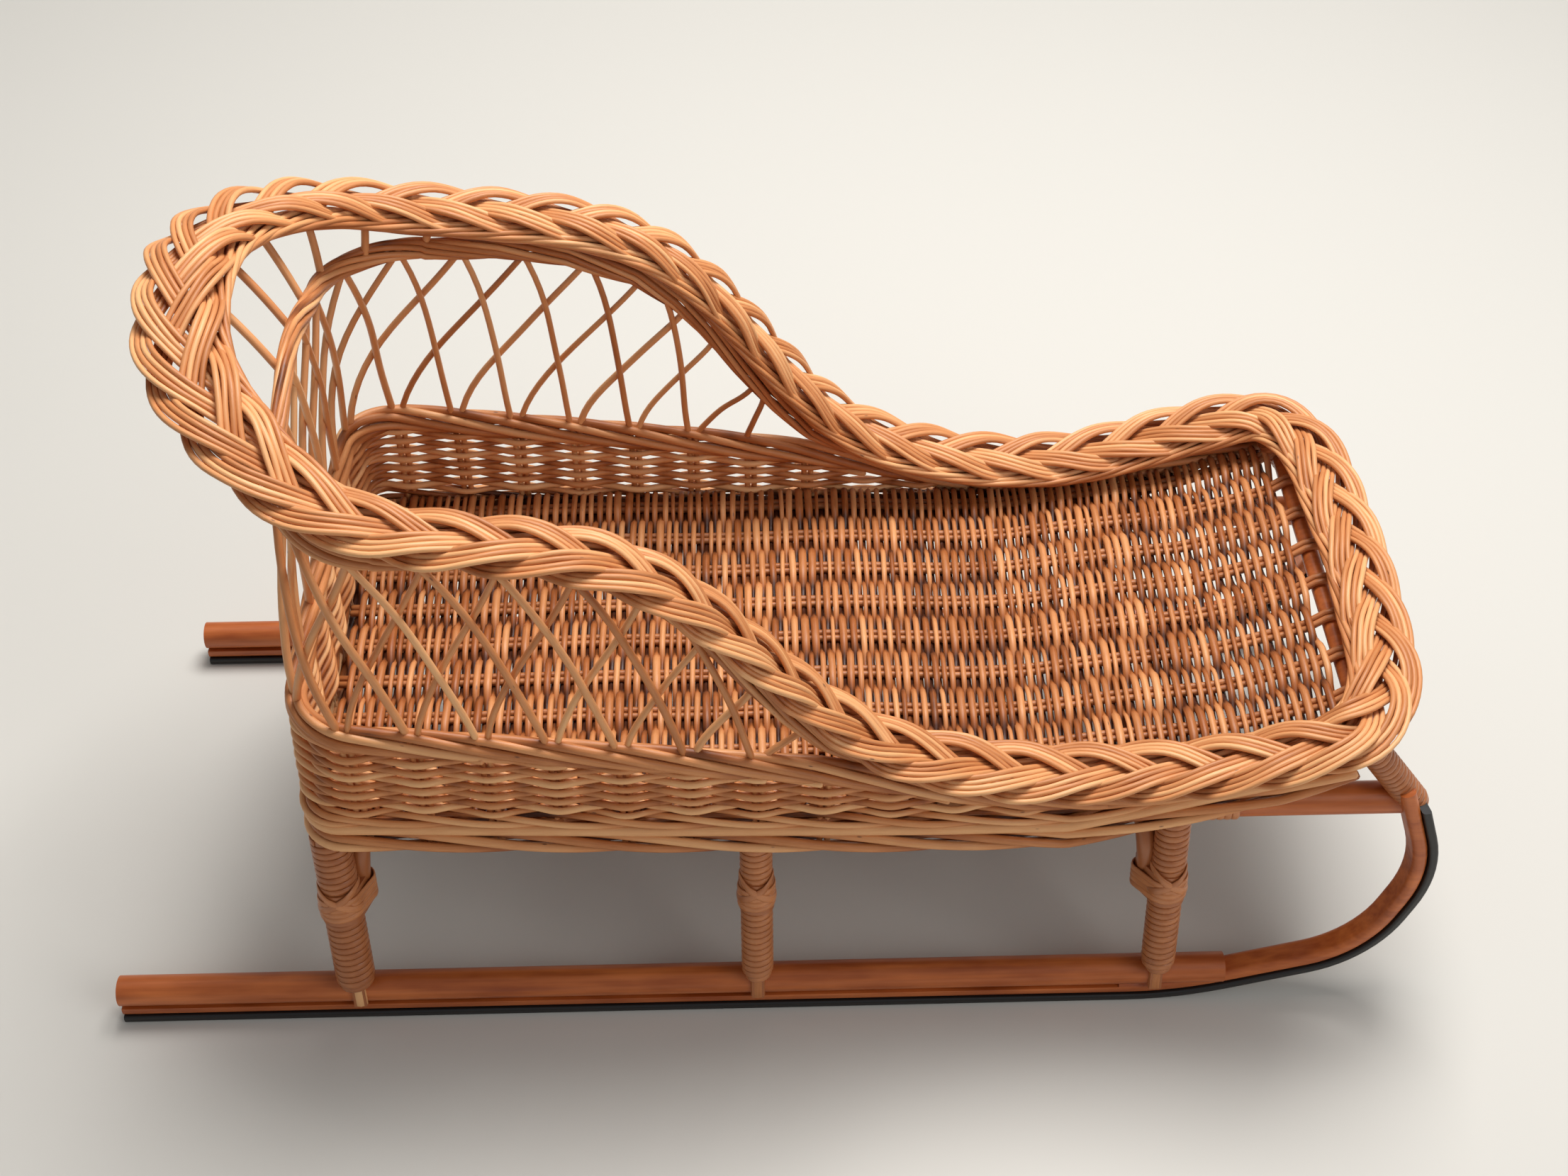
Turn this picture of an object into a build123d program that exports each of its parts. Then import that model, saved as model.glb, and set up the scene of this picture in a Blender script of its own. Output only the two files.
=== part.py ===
from build123d import *
from math import asin, atan, atan2, cos, hypot, pi, radians, sin, sqrt, tan
import os

# A child's wicker snow sled, in millimetres.
# +X is the front, where the runners bend up. +Z is up and the floor is Z = 0.
# The middle of the box that holds the sled stands at X = 0, Y = 0.
# Right is -Y and left is +Y. An offset is a distance from the sled's middle line.
SIDES = {"right": -1, "left": 1}

# Runners: a round pole on a bent strip, shod with a black sole
pole_diameter = 22.5
pole_rear_x = -476.5
pole_front_x = 339.0
runner_offset = 180.0
sole_width = 22.0
sole_thickness = 6.5
sole_corner = 2.0
strip_width = 19.0
strip_under_pole = 8.5
strip_full_depth = 11.0
strip_corner = 4.5
strip_full_from_x = 262.0
# columns: x, height up the leaning plane, share of the shorter run beside it that the arc takes
RUNNER_BEND = [(306.0, 0.0, 0.267), (446.0, 38.0, 0.474), (482.0, 128.0, 0.433)]
tip_x = 454.0
tip_above_rail = 23.3
tip_outside_rail = 6.2
sole_end_above_rail = 5.0

# Basket: the low woven wall, its foot and the seat. The heights in its tables are above the rails' middle.
rail_height = 183.0
wall_thickness = 6.0
wall_half_width = 162.0
wall_rear_x = -311.0
wall_front_x = 398.0
wall_corner_radius = 42.0
# columns: x, height of the wall's lower edge
WALL_BOTTOM = [(-336.0, -9.0), (-246.0, -12.0), (-89.0, -19.0), (109.0, -24.0), (209.0, -24.0),
               (257.0, -10.0), (351.0, 20.0), (414.0, 52.0)]
# columns: x, height of the wall's upper edge
WALL_TOP = [(-336.0, 119.0), (-242.0, 109.0), (-103.0, 91.0), (32.0, 72.0), (79.0, 62.0), (134.0, 48.0),
            (178.0, 39.0), (225.0, 37.0), (271.0, 42.0), (315.0, 53.0), (358.0, 66.0), (414.0, 81.0)]
foot_thickness = 3.0
foot_height = 20.0
# Rows of the wall, which pass outside one stake and inside the next, between the foot and the top wale
wall_row_height = 6.1
wall_rows = 11
wall_rows_above_edge = 39.0
top_wale_height = 22.0
wall_rows_end_x = 190.0
row_swing = 1.5
seat_clearance = 0.3
# columns: x, height of the top of the seat
SEAT_TOP = [(-307.0, 25.0), (199.0, 25.0), (324.0, 41.0)]
seat_front_thickness = 9.0
seat_stick_diameter = 13.0
seat_stick_share_of_horn = 0.82
seat_behind_stick = 8.0
seat_above_stick = 5.0
# Weavers of the seat, which run across it over one pair of warps and under the next
weaver_pitch = 5.5
warp_pitch = 36.0
warp_pairs_each_side = 4
crown_rise = 5.7
crown_length = 12.0
crown_foot_length = 29.0
crown_root = 1.5

# Rails under the basket, bare in front
rail_diameter = 23.5
rail_clearance = 0.25
lashing_wall = 2.5
lashing_ahead_of_post = 15.0
lashing_length = 27.0

# Posts and arches. A post's axis passes outside the pole's middle and the rail's middle.
post_foot_diameter = 13.0
post_taper_length = 7.5
post_outside_pole = 11.55
post_outside_rail = 2.5
post_top_below_rail = 7.0
wrap_end_above_pole = 13.0
peg_end_below_pole = 5.5
peg_width = 9.0
peg_depth = 5.0
arch_diameter = 14.0
arch_bend_radius = 30.0
arch_gap = 0.6
arch_leg_below_collar = 11.0
collar_wall = 2.2
collar_height = 25.0
collar_centre_height = 116.5
# columns: name, x at the pole, x at the rail, diameter, then where the arch leg touches the post: the steps forward
# and inward at the rail, and the steps forward and inward at its end
POSTS = [
    ("rear", -299.0, -304.0, 26.0, 0.92, 0.39, 0.50, 0.87),
    ("middle", -7.0, -7.0, 21.0, 0.0, 1.0, 0.0, 1.0),
    ("front", 287.0, 287.0, 22.5, -1.0, 0.0, -0.60, 0.80),
]

# Upper band: the hoop that the lattice reaches
band_thickness = 8.0
band_depth = 16.0
band_inside_wall = 5.0
band_ahead_of_wall = 11.0
band_corner_radius = 65.0
# columns: y, height of the band's middle line behind the corner
BAND_REAR = [(0.0, 298.0), (18.0, 296.5), (38.0, 291.0), (62.0, 282.5), (85.0, 275.0), (110.0, 268.5),
             (140.0, 263.0), (170.0, 260.0)]
# columns: x, height of the band's middle line along the side
BAND_SIDE = [(-235.0, 260.0), (-183.0, 260.0), (-134.0, 253.0), (-86.0, 235.0), (-57.0, 212.0),
             (-36.5, 188.0), (-11.5, 151.0), (15.5, 114.0), (43.0, 83.0)]

# Lattice: crossing rods between the low wall and the upper band, and single stakes from the band to the rim
lattice_rod = 5.0
lattice_pitch = 45.0
lattice_layer_gap = 0.9
# how far a rod moves along the wall for its rise, by its layer: outer 1, inner -1
LATTICE_LEAN = {1: 0.60, -1: -0.32}
lattice_positions = 23
lattice_shortest = 16.0
end_clearance = 0.2
stake_diameter = 5.5
stake_pitch = 43.0
stake_positions = 10
stake_spread = 1.124
stake_drift = 14.0
stake_end_below_rim = 11.4

# Rim: a flat plait round the whole basket, each strand over two others and then under two
strands = 5
strand_diameter = 9.0
strand_bend_share = 0.45
plait_half_width = 15.0
# columns: x, how much wider than that the plait spreads there
PLAIT_SPREAD = [(-355.0, 1.45), (-305.0, 1.35), (-240.0, 1.1), (0.0, 1.1), (110.0, 1.25), (350.0, 1.2), (431.0, 1.05)]
plait_half_depth = 9.5
plait_turns = 10
points_per_turn = 14
strand_end_gap = 0.2
# columns: x, half width as a share of the low wall's, height above the rails, from the rear to the front
RIM = [(-355.0, 0.0, 357.0), (-344.0, 0.444, 345.0), (-328.0, 0.611, 337.0), (-305.0, 0.772, 325.0),
       (-269.0, 0.932, 306.0), (-197.0, 1.031, 287.0), (-115.0, 1.037, 273.0), (-78.0, 1.037, 257.0),
       (-42.0, 1.037, 227.0), (-3.0, 1.025, 179.0), (42.0, 1.006, 121.0), (87.0, 1.0, 82.0),
       (134.0, 0.994, 62.5), (178.0, 0.994, 53.0), (225.0, 0.994, 51.0), (271.0, 1.012, 56.0),
       (315.0, 1.037, 67.0), (358.0, 1.043, 80.0), (393.0, 1.006, 90.0), (418.0, 0.815, 94.0),
       (428.0, 0.407, 94.0), (431.0, 0.0, 94.0)]

# Horns: wrapped rods from the runner tips up to the front of the rim
horn_diameter = 20.0
horn_outside_rail = 3.0
horn_foot_x = 456.0
horn_foot_below_rail = 3.0
horn_top_x = 399.0
horn_top_above_rail = 75.5

# Worked out from the sizes above
pole_height = sole_thickness + strip_under_pole + pole_diameter / 2
rail_offset = wall_half_width - wall_thickness / 2 - rail_diameter / 2 - rail_clearance
tip_height = rail_height + tip_above_rail
tip_inward = runner_offset - rail_offset - tip_outside_rail
runner_lean = atan2(tip_inward, tip_height)
post_lean = (runner_offset + post_outside_pole - rail_offset - post_outside_rail) / (rail_height - pole_height)
band_half_width = wall_half_width - band_inside_wall
band_rear_x = wall_rear_x + band_ahead_of_wall
beyond = 2 * (tip_x - pole_rear_x)


def above_rail(table):
    """The rows of a table with their last column, a height above the rails, as a height above the floor."""
    return [(*row[:-1], rail_height + row[-1]) for row in table]


def table_at(table, value):
    """Read a two-column table at a value, straight between its rows and level past its ends."""
    if value <= table[0][0]:
        return table[0][1]
    for (x0, z0), (x1, z1) in zip(table, table[1:]):
        if value <= x1:
            return z0 + (z1 - z0) * (value - x0) / (x1 - x0)
    return table[-1][1]


def rod(path, diameter):
    """A round rod along a path of lines and arcs."""
    disc = Plane(origin=path @ 0, z_dir=path % 0) * Circle(diameter / 2)
    return sweep(disc, path=path)


def straight_rod(start, end, diameter):
    """A round rod between two points."""
    start = Vector(start)
    axis = Vector(end) - start
    place = Plane(origin=start, z_dir=axis)
    return place * Cylinder(diameter / 2, axis.length, align=(Align.CENTER, Align.CENTER, Align.MIN))


def smooth_line(points, shares):
    """Lines joined by tangent arcs. A share is how much of the shorter run beside it an arc takes."""
    corners = [Vector(*point) for point in points]
    radii = []
    for before, here, after, share in zip(corners, corners[1:], corners[2:], shares):
        run_in = here - before
        run_out = after - here
        half_turn = radians(run_in.get_angle(run_out)) / 2
        radii.append(share * min(run_in.length, run_out.length) / tan(half_turn))
    return FilletPolyline(*corners, radius=radii)


def without(shape, cutters):
    """A shape less its neighbours, as its one largest solid."""
    for cutter in cutters:
        shape = shape - cutter
    return shape.solids().sort_by(SortBy.VOLUME)[-1]


# Runners
def runner_path(side):
    """The middle line of the sole's underside: straight on the floor, then up in a leaning plane."""
    rows = [(x, height) for x, height, _ in RUNNER_BEND] + [(tip_x, hypot(tip_height, tip_inward))]
    points = [(pole_rear_x, side * runner_offset, 0)]
    for x, height in rows:
        points.append((x, side * (runner_offset - height * sin(runner_lean)), height * cos(runner_lean)))
    return smooth_line(points, [share for _, _, share in RUNNER_BEND])


def runner_section(side, width, low, high, corner):
    """A rounded section across the rear end of a runner, between two heights."""
    rear = Plane(origin=(pole_rear_x, side * runner_offset, 0), x_dir=(0, 1, 0), z_dir=(1, 0, 0))
    return rear * Pos(0, (low + high) / 2) * RectangleRounded(width, high - low, corner)


def make_sole(side):
    sole = sweep(runner_section(side, sole_width, 0, sole_thickness, sole_corner), path=runner_path(side))
    above = Box(beyond, beyond, beyond, align=(Align.CENTER, Align.CENTER, Align.MIN))
    return sole - Pos(0, 0, rail_height + sole_end_above_rail) * above


def make_strip(side):
    """The bent strip, planed thinner where the pole lies on it."""
    high = sole_thickness + strip_full_depth
    strip = sweep(runner_section(side, strip_width, sole_thickness, high, strip_corner),
                  path=runner_path(side))
    length = strip_full_from_x - pole_rear_x
    planed = Box(length, beyond, strip_full_depth, align=(Align.MIN, Align.CENTER, Align.MIN))
    return strip - Pos(pole_rear_x, 0, sole_thickness + strip_under_pole) * planed


def make_pole(side, cutters):
    """The round pole, scarfed where the thickening strip meets it."""
    y = side * runner_offset
    pole = straight_rod((pole_rear_x, y, pole_height), (pole_front_x, y, pole_height), pole_diameter)
    return without(pole, cutters)


# Basket walls
def plan_outline(half_width, rear_x, front_x, corner, offset):
    """The U of the basket in plan, moved outwards by an offset, as a closed face to its open front."""
    back = rear_x - offset
    block = Pos((back + front_x) / 2, 0) * Rectangle(front_x - back, 2 * (half_width + offset))
    rear_corners = block.vertices().sort_by(Axis.X)[:2]
    return fillet(rear_corners, corner + offset)


def plan_ring(half_width, rear_x, front_x, corner, inner, outer):
    """The U-shaped strip between two offsets, open at the front."""
    whole = plan_outline(half_width, rear_x, front_x, corner, outer)
    hollow = plan_outline(half_width, rear_x, front_x + beyond, corner, inner)
    return whole - hollow


def side_slab(lower, upper):
    """A slab across the sled between two lines of points in the XZ plane."""
    outline = make_face(Polyline(*lower, *reversed(upper), close=True))
    return extrude(Plane.XZ * outline, beyond, both=True)


def make_wall():
    """The wall's whole thickness, which the other pieces keep clear of."""
    ring = plan_ring(wall_half_width, wall_rear_x, wall_front_x, wall_corner_radius,
                     -wall_thickness / 2, wall_thickness / 2)
    return extrude(ring, beyond) & side_slab(above_rail(WALL_BOTTOM), above_rail(WALL_TOP))


def row_edge(swing, half_thickness):
    """One edge of a row in plan, from the right front round the rear to the left front."""
    length = wall_rows_end_x - wall_rear_x + wall_half_width + lattice_pitch
    steps = int(length / lattice_pitch) * 2
    points = []
    for step in range(-steps, steps + 1):
        distance = step * lattice_pitch / 2
        offset = swing * cos(pi * distance / lattice_pitch) + half_thickness
        points.append(plan_point(distance, wall_half_width, wall_rear_x, wall_corner_radius, offset))
    return points


def weave_wall(wall):
    """The wall with its rows of weaving: each row swings in and out along the wall, and the next one against it."""
    lower = above_rail(WALL_BOTTOM)
    upper = above_rail(WALL_TOP)
    floor = [(x, z + wall_rows_above_edge) for x, z in lower if x < wall_rows_end_x]
    ceiling = [(x, z - top_wale_height) for x, z in upper if x < wall_rows_end_x]
    floor.append((wall_rows_end_x, table_at(lower, wall_rows_end_x) + wall_rows_above_edge))
    ceiling.append((wall_rows_end_x, table_at(upper, wall_rows_end_x) - top_wale_height))
    woven = make_face(Polyline(*floor, *reversed(ceiling), close=True))
    pieces = []
    half = wall_thickness / 2 - row_swing
    for row in range(wall_rows):
        swing = row_swing * (1 if row % 2 else -1)
        low = [(x, z + row * wall_row_height) for x, z in floor]
        high = [(x, z + wall_row_height) for x, z in low]
        height = woven & make_face(Polyline(*low, *reversed(high), close=True))
        ring = make_face(Polyline(*row_edge(swing, half), *reversed(row_edge(swing, -half)), close=True))
        if height.faces():
            pieces.append(extrude(ring, beyond) & extrude(Plane.XZ * height, beyond, both=True))
    return (wall - extrude(Plane.XZ * woven, beyond, both=True)) + pieces


def make_foot():
    """The heavier rods round the wall's lower edge."""
    ring = plan_ring(wall_half_width, wall_rear_x, wall_front_x, wall_corner_radius,
                     wall_thickness / 2, wall_thickness / 2 + foot_thickness)
    lower = above_rail(WALL_BOTTOM)
    return extrude(ring, beyond) & side_slab(lower, [(x, z + foot_height) for x, z in lower])


def horn_point(side, share):
    """A point of the horn's middle line, at a share of its length from the foot."""
    x = horn_foot_x + (horn_top_x - horn_foot_x) * share
    rise = -horn_foot_below_rail + (horn_top_above_rail + horn_foot_below_rail) * share
    return x, side * (rail_offset + horn_outside_rail), rail_height + rise


def seat_top():
    """The line of the weavers' crowns along the seat: level, then rising to the stick across the front."""
    stick_x, _, stick_height = horn_point(1, seat_stick_share_of_horn)
    upper = above_rail(SEAT_TOP)
    upper.append((stick_x - seat_behind_stick, stick_height + seat_above_stick))
    return upper


def make_seat():
    """The core of the seat, without its crowns, which lies on the rails."""
    upper = seat_top()
    rest = rail_height + rail_diameter / 2
    lower = [(upper[0][0], rest), (upper[1][0], rest)]
    lower += [(x, z - seat_front_thickness) for x, z in upper[2:]]
    core = [(x, z - crown_rise) for x, z in upper]
    outline = make_face(Polyline(*core, *reversed(lower), close=True))
    plan = plan_outline(wall_half_width, wall_rear_x, wall_front_x + beyond, wall_corner_radius,
                        -wall_thickness / 2 - seat_clearance)
    return extrude(Plane.XZ * outline, beyond, both=True) & extrude(plan, beyond)


def seat_reach(x):
    """Half the seat's width at a place along it, less near the round corners behind."""
    inset = wall_thickness / 2 + seat_clearance
    corner = wall_corner_radius - inset
    ahead = min(x - wall_rear_x - inset, corner)
    return wall_half_width - wall_corner_radius + sqrt(corner ** 2 - (corner - ahead) ** 2)


def weave_seat(core):
    """The seat with a crown wherever a weaver passes over a pair of warps."""
    upper = seat_top()
    crowns = []
    for row in range(int((upper[-1][0] - upper[0][0]) / weaver_pitch)):
        rear = upper[0][0] + row * weaver_pitch
        top = table_at(upper, rear + weaver_pitch / 2)
        root = top - crown_rise - crown_root
        for pair in range(-warp_pairs_each_side, warp_pairs_each_side + 1):
            y = pair * warp_pitch
            if (row + pair) % 2 or abs(y) + crown_foot_length / 2 > seat_reach(rear):
                continue
            crown = make_face(Polyline((y - crown_foot_length / 2, root), (y + crown_foot_length / 2, root),
                                       (y + crown_length / 2, top), (y - crown_length / 2, top), close=True))
            crowns.append(Pos(rear, 0, 0) * extrude(Plane.YZ * crown, weaver_pitch))
    return core + crowns


def make_seat_stick(horns):
    x, _, height = horn_point(1, seat_stick_share_of_horn)
    half = wall_half_width - wall_thickness / 2
    return without(straight_rod((x, -half, height), (x, half, height), seat_stick_diameter), horns)


# Upper band and lattice
def offset_line(points, distance):
    """Points moved square to a line through them."""
    moved = []
    last = len(points) - 1
    for index, (x, z) in enumerate(points):
        x0, z0 = points[max(index - 1, 0)]
        x1, z1 = points[min(index + 1, last)]
        length = hypot(x1 - x0, z1 - z0)
        moved.append((x - (z1 - z0) / length * distance, z + (x1 - x0) / length * distance))
    return moved


def make_band():
    """The hoop: a U-shaped strip cut to its rising middle line, first behind, then along the sides."""
    side = above_rail(BAND_SIDE)
    rear = above_rail(BAND_REAR)
    rear.append((beyond, rear[-1][1]))
    half = band_depth / 2
    ring = plan_ring(band_half_width, band_rear_x, side[-1][0] + 2 * band_depth, band_corner_radius,
                     -band_thickness / 2, band_thickness / 2)
    hoop = extrude(ring, beyond)
    sides = hoop & side_slab(offset_line(side, -half), offset_line(side, half))
    across = [(-y, z) for y, z in reversed(rear)] + rear[1:]
    outline = make_face(Polyline(*[(y, z - half) for y, z in across],
                                 *[(y, z + half) for y, z in reversed(across)], close=True))
    slab = Pos(side[0][0], 0, 0) * extrude(Plane.YZ * outline, -beyond)
    return sides + (hoop & slab)


def plan_point(distance, half_width, rear_x, corner, offset):
    """A point of the U in plan, by its distance from the middle of the rear, and out by an offset.
    The straight rear comes first, then a quarter circle, then the straight side."""
    side = 1 if distance > 0 else -1
    run = abs(distance)
    rear_run = half_width - corner
    arc_run = corner * pi / 2
    if run <= rear_run:
        return rear_x - offset, side * run
    if run <= rear_run + arc_run:
        turn = (run - rear_run) / corner
        radius = corner + offset
        return rear_x + corner - radius * cos(turn), side * (rear_run + radius * sin(turn))
    return rear_x + corner + run - rear_run - arc_run, side * (half_width + offset)


def lattice_foot(distance, offset):
    x, y = plan_point(distance, wall_half_width, wall_rear_x, wall_corner_radius, offset)
    return x, y, table_at(above_rail(WALL_TOP), x)


def band_edge(distance, offset, edge):
    """A point on the band's lower edge, for -1, or its upper edge, for 1."""
    x, y = plan_point(distance, band_half_width, band_rear_x, band_corner_radius, offset)
    half = edge * band_depth / 2
    if x < BAND_SIDE[0][0]:
        return x, y, table_at(above_rail(BAND_REAR), abs(y)) + half
    return x, y, table_at(offset_line(above_rail(BAND_SIDE), half), x)


def end_gap(lean, before, after):
    """How far up or down a leaning rod's round end stops, so that its rim just clears an edge.
    The edge runs between two points one rod's width apart."""
    slope = atan((after[2] - before[2]) / lattice_rod)
    return lattice_rod / 2 * abs(sin(atan(lean) + slope)) / cos(slope) + end_clearance


def lattice_rod_solid(distance, lean, offset):
    """One rod from the wall's edge to the band, leaning along the wall as it rises."""
    half = lattice_rod / 2
    x, y, height = lattice_foot(distance, offset)
    lift = end_gap(lean, lattice_foot(distance - half, offset), lattice_foot(distance + half, offset))
    foot = (x, y, height + lift)
    reach = distance
    for _ in range(12):
        rise = band_edge(reach, offset, -1)[2] - foot[2]
        reach = distance + lean * rise
    x, y, height = band_edge(reach, offset, -1)
    drop = end_gap(lean, band_edge(reach - half, offset, -1), band_edge(reach + half, offset, -1))
    top = (x, y, height - drop)
    if top[2] - foot[2] < lattice_shortest or top[0] > BAND_SIDE[-1][0]:
        return None
    middle_foot = lattice_foot((distance + reach) / 2, offset)
    middle_top = band_edge((distance + reach) / 2, offset, -1)
    middle = ((middle_foot[0] + middle_top[0]) / 2, (middle_foot[1] + middle_top[1]) / 2,
              (foot[2] + top[2]) / 2)
    start, through, end = Vector(*foot), Vector(*middle), Vector(*top)
    chord = end - start
    bulge = (through - start).cross(chord).length / chord.length
    if bulge < lattice_rod / 12:
        return straight_rod(foot, top, lattice_rod)
    return rod(ThreePointArc(start, through, end), lattice_rod)


def make_lattice(layer):
    """All rods of one layer. The outer layer leans one way and the inner layer the other."""
    offset = (lattice_rod + lattice_layer_gap) / 2 * layer
    rods = []
    for index in range(lattice_positions):
        distance = (index - (lattice_positions - 1) / 2) * lattice_pitch
        piece = lattice_rod_solid(distance, LATTICE_LEAN[layer], offset)
        if piece is not None:
            rods.append(piece)
    return rods


# Rim
def rim_line():
    """The rim's middle line: the right half from the rear, then the left half back again."""
    rows = [(x, share * wall_half_width, z) for x, share, z in above_rail(RIM)]
    right = [(x, -y, z) for x, y, z in rows]
    left = list(reversed(rows[1:-1]))
    return Spline(*right, *left, periodic=True)


def rim_frame(line, share):
    """The rim's middle, its outward direction and its upward one, at a share of its length."""
    along = line % share
    out = Vector(along.Y, -along.X, 0).normalized()
    return line @ share, out, out.cross(along).normalized()


def strand_points(line, number):
    """A strand's middle line. It swings across the rim once a turn, and dips and rises twice."""
    steps = plait_turns * points_per_turn
    points = []
    for step in range(steps):
        centre, out, up = rim_frame(line, step / steps)
        phase = 2 * pi * (step / points_per_turn + number / strands)
        swing = plait_half_width * table_at(PLAIT_SPREAD, centre.X) * sin(phase)
        lift = -plait_half_depth * sin(2 * phase)
        points.append(centre + out * swing + up * lift)
    return points


def make_strand(line, number):
    """One strand, closed on itself in the middle of a run, where its two ends meet."""
    points = strand_points(line, number)
    first_run = points[1] - points[0]
    middle = points[0] + first_run / 2
    gap = first_run.normalized() * strand_end_gap / 2
    points = [middle + gap, *points[1:], points[0], middle - gap]
    return rod(smooth_line(points, [strand_bend_share] * len(points)), strand_diameter)


def make_stakes(line):
    """Single rods from the back of the upper band out to the rim, leaning along as they rise."""
    stakes = []
    for index in range(stake_positions):
        distance = (index - (stake_positions - 1) / 2) * stake_pitch
        share = -(distance * stake_spread + stake_drift) / line.length
        centre, out, up = rim_frame(line, share % 1)
        foot = Vector(*band_edge(distance, 0, 1))
        top = centre - up * stake_end_below_rim
        axis = (top - foot).normalized()
        lift = stake_diameter / 2 * hypot(axis.X, axis.Y) + end_clearance
        stakes.append(straight_rod(foot + Vector(0, 0, lift), top, stake_diameter))
    return stakes


# Posts, arches, horns and lashings
def post_point(side, post, height, forward=0.0, inward=0.0):
    """A point beside a post's axis, which leans inwards and a little along the sled as it rises."""
    _, foot_x, top_x = post[:3]
    rise = height - pole_height
    x = foot_x + (top_x - foot_x) * rise / (rail_height - pole_height)
    offset = runner_offset + post_outside_pole - post_lean * rise
    return x + forward, side * (offset - inward), height


def make_post(side, post, cutters):
    """A wrapped post with a rounded end and a flat peg nailed to the runner pole."""
    diameter = post[3]
    wrap_end = pole_height + wrap_end_above_pole
    foot = post_point(side, post, wrap_end)
    shoulder = post_point(side, post, wrap_end + post_taper_length)
    top = post_point(side, post, rail_height - post_top_below_rail)
    axis = Vector(*shoulder) - Vector(*foot)
    place = Plane(origin=foot, z_dir=axis, x_dir=(1, 0, 0))
    taper = place * Cone(post_foot_diameter / 2, diameter / 2, axis.length,
                         align=(Align.CENTER, Align.CENTER, Align.MIN))
    peg_length = (wrap_end_above_pole + peg_end_below_pole) * hypot(1, post_lean)
    peg = Box(peg_width, peg_depth, peg_length, align=(Align.CENTER, Align.CENTER, Align.MAX))
    return without(straight_rod(shoulder, top, diameter) + taper + place * peg, cutters)


def leg_point(side, post, share):
    """A point of an arch leg's axis, from the rail at share 0 to the leg's end at share 1."""
    _, _, _, diameter, forward, inward, end_forward, end_inward = post
    step = (diameter + arch_diameter) / 2 + arch_gap
    high = rail_height - rail_diameter / 2 - arch_diameter / 2
    low = collar_centre_height - arch_leg_below_collar
    height = high + (low - high) * share
    return post_point(side, post, height, step * (forward + (end_forward - forward) * share),
                      step * (inward + (end_inward - inward) * share))


def make_arch(post):
    """A bent rod whose legs are bound beside two posts and which crosses under both rails."""
    points = [leg_point(side, post, share) for side, share in [(-1, 1), (-1, 0), (1, 0), (1, 1)]]
    return rod(FilletPolyline(*points, radius=arch_bend_radius), arch_diameter)


def make_collar(side, post, cutters):
    """The crossed skein drawn tight round a post and the arch leg beside it."""
    low = Vector(*post_point(side, post, collar_centre_height - collar_height / 2))
    high = Vector(*post_point(side, post, collar_centre_height + collar_height / 2))
    place = Plane(origin=low, z_dir=high - low, x_dir=(1, 0, 0))
    leg = place.to_local_coords(Vector(*leg_point(side, post, 1)))
    radius = post[3] / 2 + collar_wall
    leg_radius = arch_diameter / 2 + collar_wall
    span = hypot(leg.X, leg.Y)
    turn = atan2(leg.Y, leg.X)
    spread = pi / 2 - asin((radius - leg_radius) / span)
    corners = []
    for middle, reach, angle in [(0, radius, turn + spread), (span, leg_radius, turn + spread),
                                 (span, leg_radius, turn - spread), (0, radius, turn - spread)]:
        corners.append((middle * cos(turn) + reach * cos(angle), middle * sin(turn) + reach * sin(angle)))
    bridge = make_face(Polyline(*corners, close=True))
    outline = Circle(radius) + bridge + Pos(leg.X, leg.Y) * Circle(leg_radius)
    return without(extrude(place * outline, (high - low).length), cutters)


def make_rail(side, cutters):
    y = side * rail_offset
    return without(straight_rod((wall_rear_x, y, rail_height), (tip_x, y, rail_height), rail_diameter),
                   cutters)


def make_horn(side, cutters):
    return without(straight_rod(horn_point(side, 0), horn_point(side, 1), horn_diameter), cutters)


def make_lashing(side, cutters):
    """Skein wound round the bare rail in front of the front post."""
    start_x = POSTS[-1][2] + lashing_ahead_of_post
    place = Plane(origin=(start_x, side * rail_offset, rail_height), z_dir=(1, 0, 0))
    outline = Circle(rail_diameter / 2 + lashing_wall) - Circle(rail_diameter / 2)
    return without(extrude(place * outline, lashing_length), cutters)


def build():
    parts = {}
    wall = make_wall()
    foot = make_foot()
    seat = make_seat()
    line = rim_line()
    parts["basket_wall"] = weave_wall(wall)
    parts["basket_foot"] = foot
    parts["seat_weave"] = weave_seat(seat)
    parts["upper_band"] = make_band()
    parts["lattice_outer"] = make_lattice(1)
    parts["lattice_inner"] = make_lattice(-1)
    parts["flare_stakes"] = make_stakes(line)
    for number in range(strands):
        parts[f"rim_strand_{number + 1}"] = make_strand(line, number)
    for side_name, side in SIDES.items():
        sole = make_sole(side)
        strip = make_strip(side)
        rail = make_rail(side, [strip, sole, wall, foot])
        parts[f"sole_{side_name}"] = sole
        parts[f"runner_strip_{side_name}"] = strip
        parts[f"runner_pole_{side_name}"] = make_pole(side, [strip, sole])
        parts[f"rail_{side_name}"] = rail
        parts[f"rail_lashing_{side_name}"] = make_lashing(side, [wall, foot])
        parts[f"horn_{side_name}"] = make_horn(side, [strip, rail, seat, sole, wall])
    parts["seat_stick"] = make_seat_stick([parts["horn_right"], parts["horn_left"]])
    for post in POSTS:
        arch = make_arch(post)
        name = post[0]
        parts[f"arch_{name}"] = arch
        for side_name, side in SIDES.items():
            carried = [parts[f"runner_pole_{side_name}"], parts[f"runner_strip_{side_name}"],
                       parts[f"rail_{side_name}"], wall, foot, arch]
            wrapped = make_post(side, post, carried)
            parts[f"post_{name}_{side_name}"] = wrapped
            parts[f"collar_{name}_{side_name}"] = make_collar(side, post, [wrapped, arch])
    return parts


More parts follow.
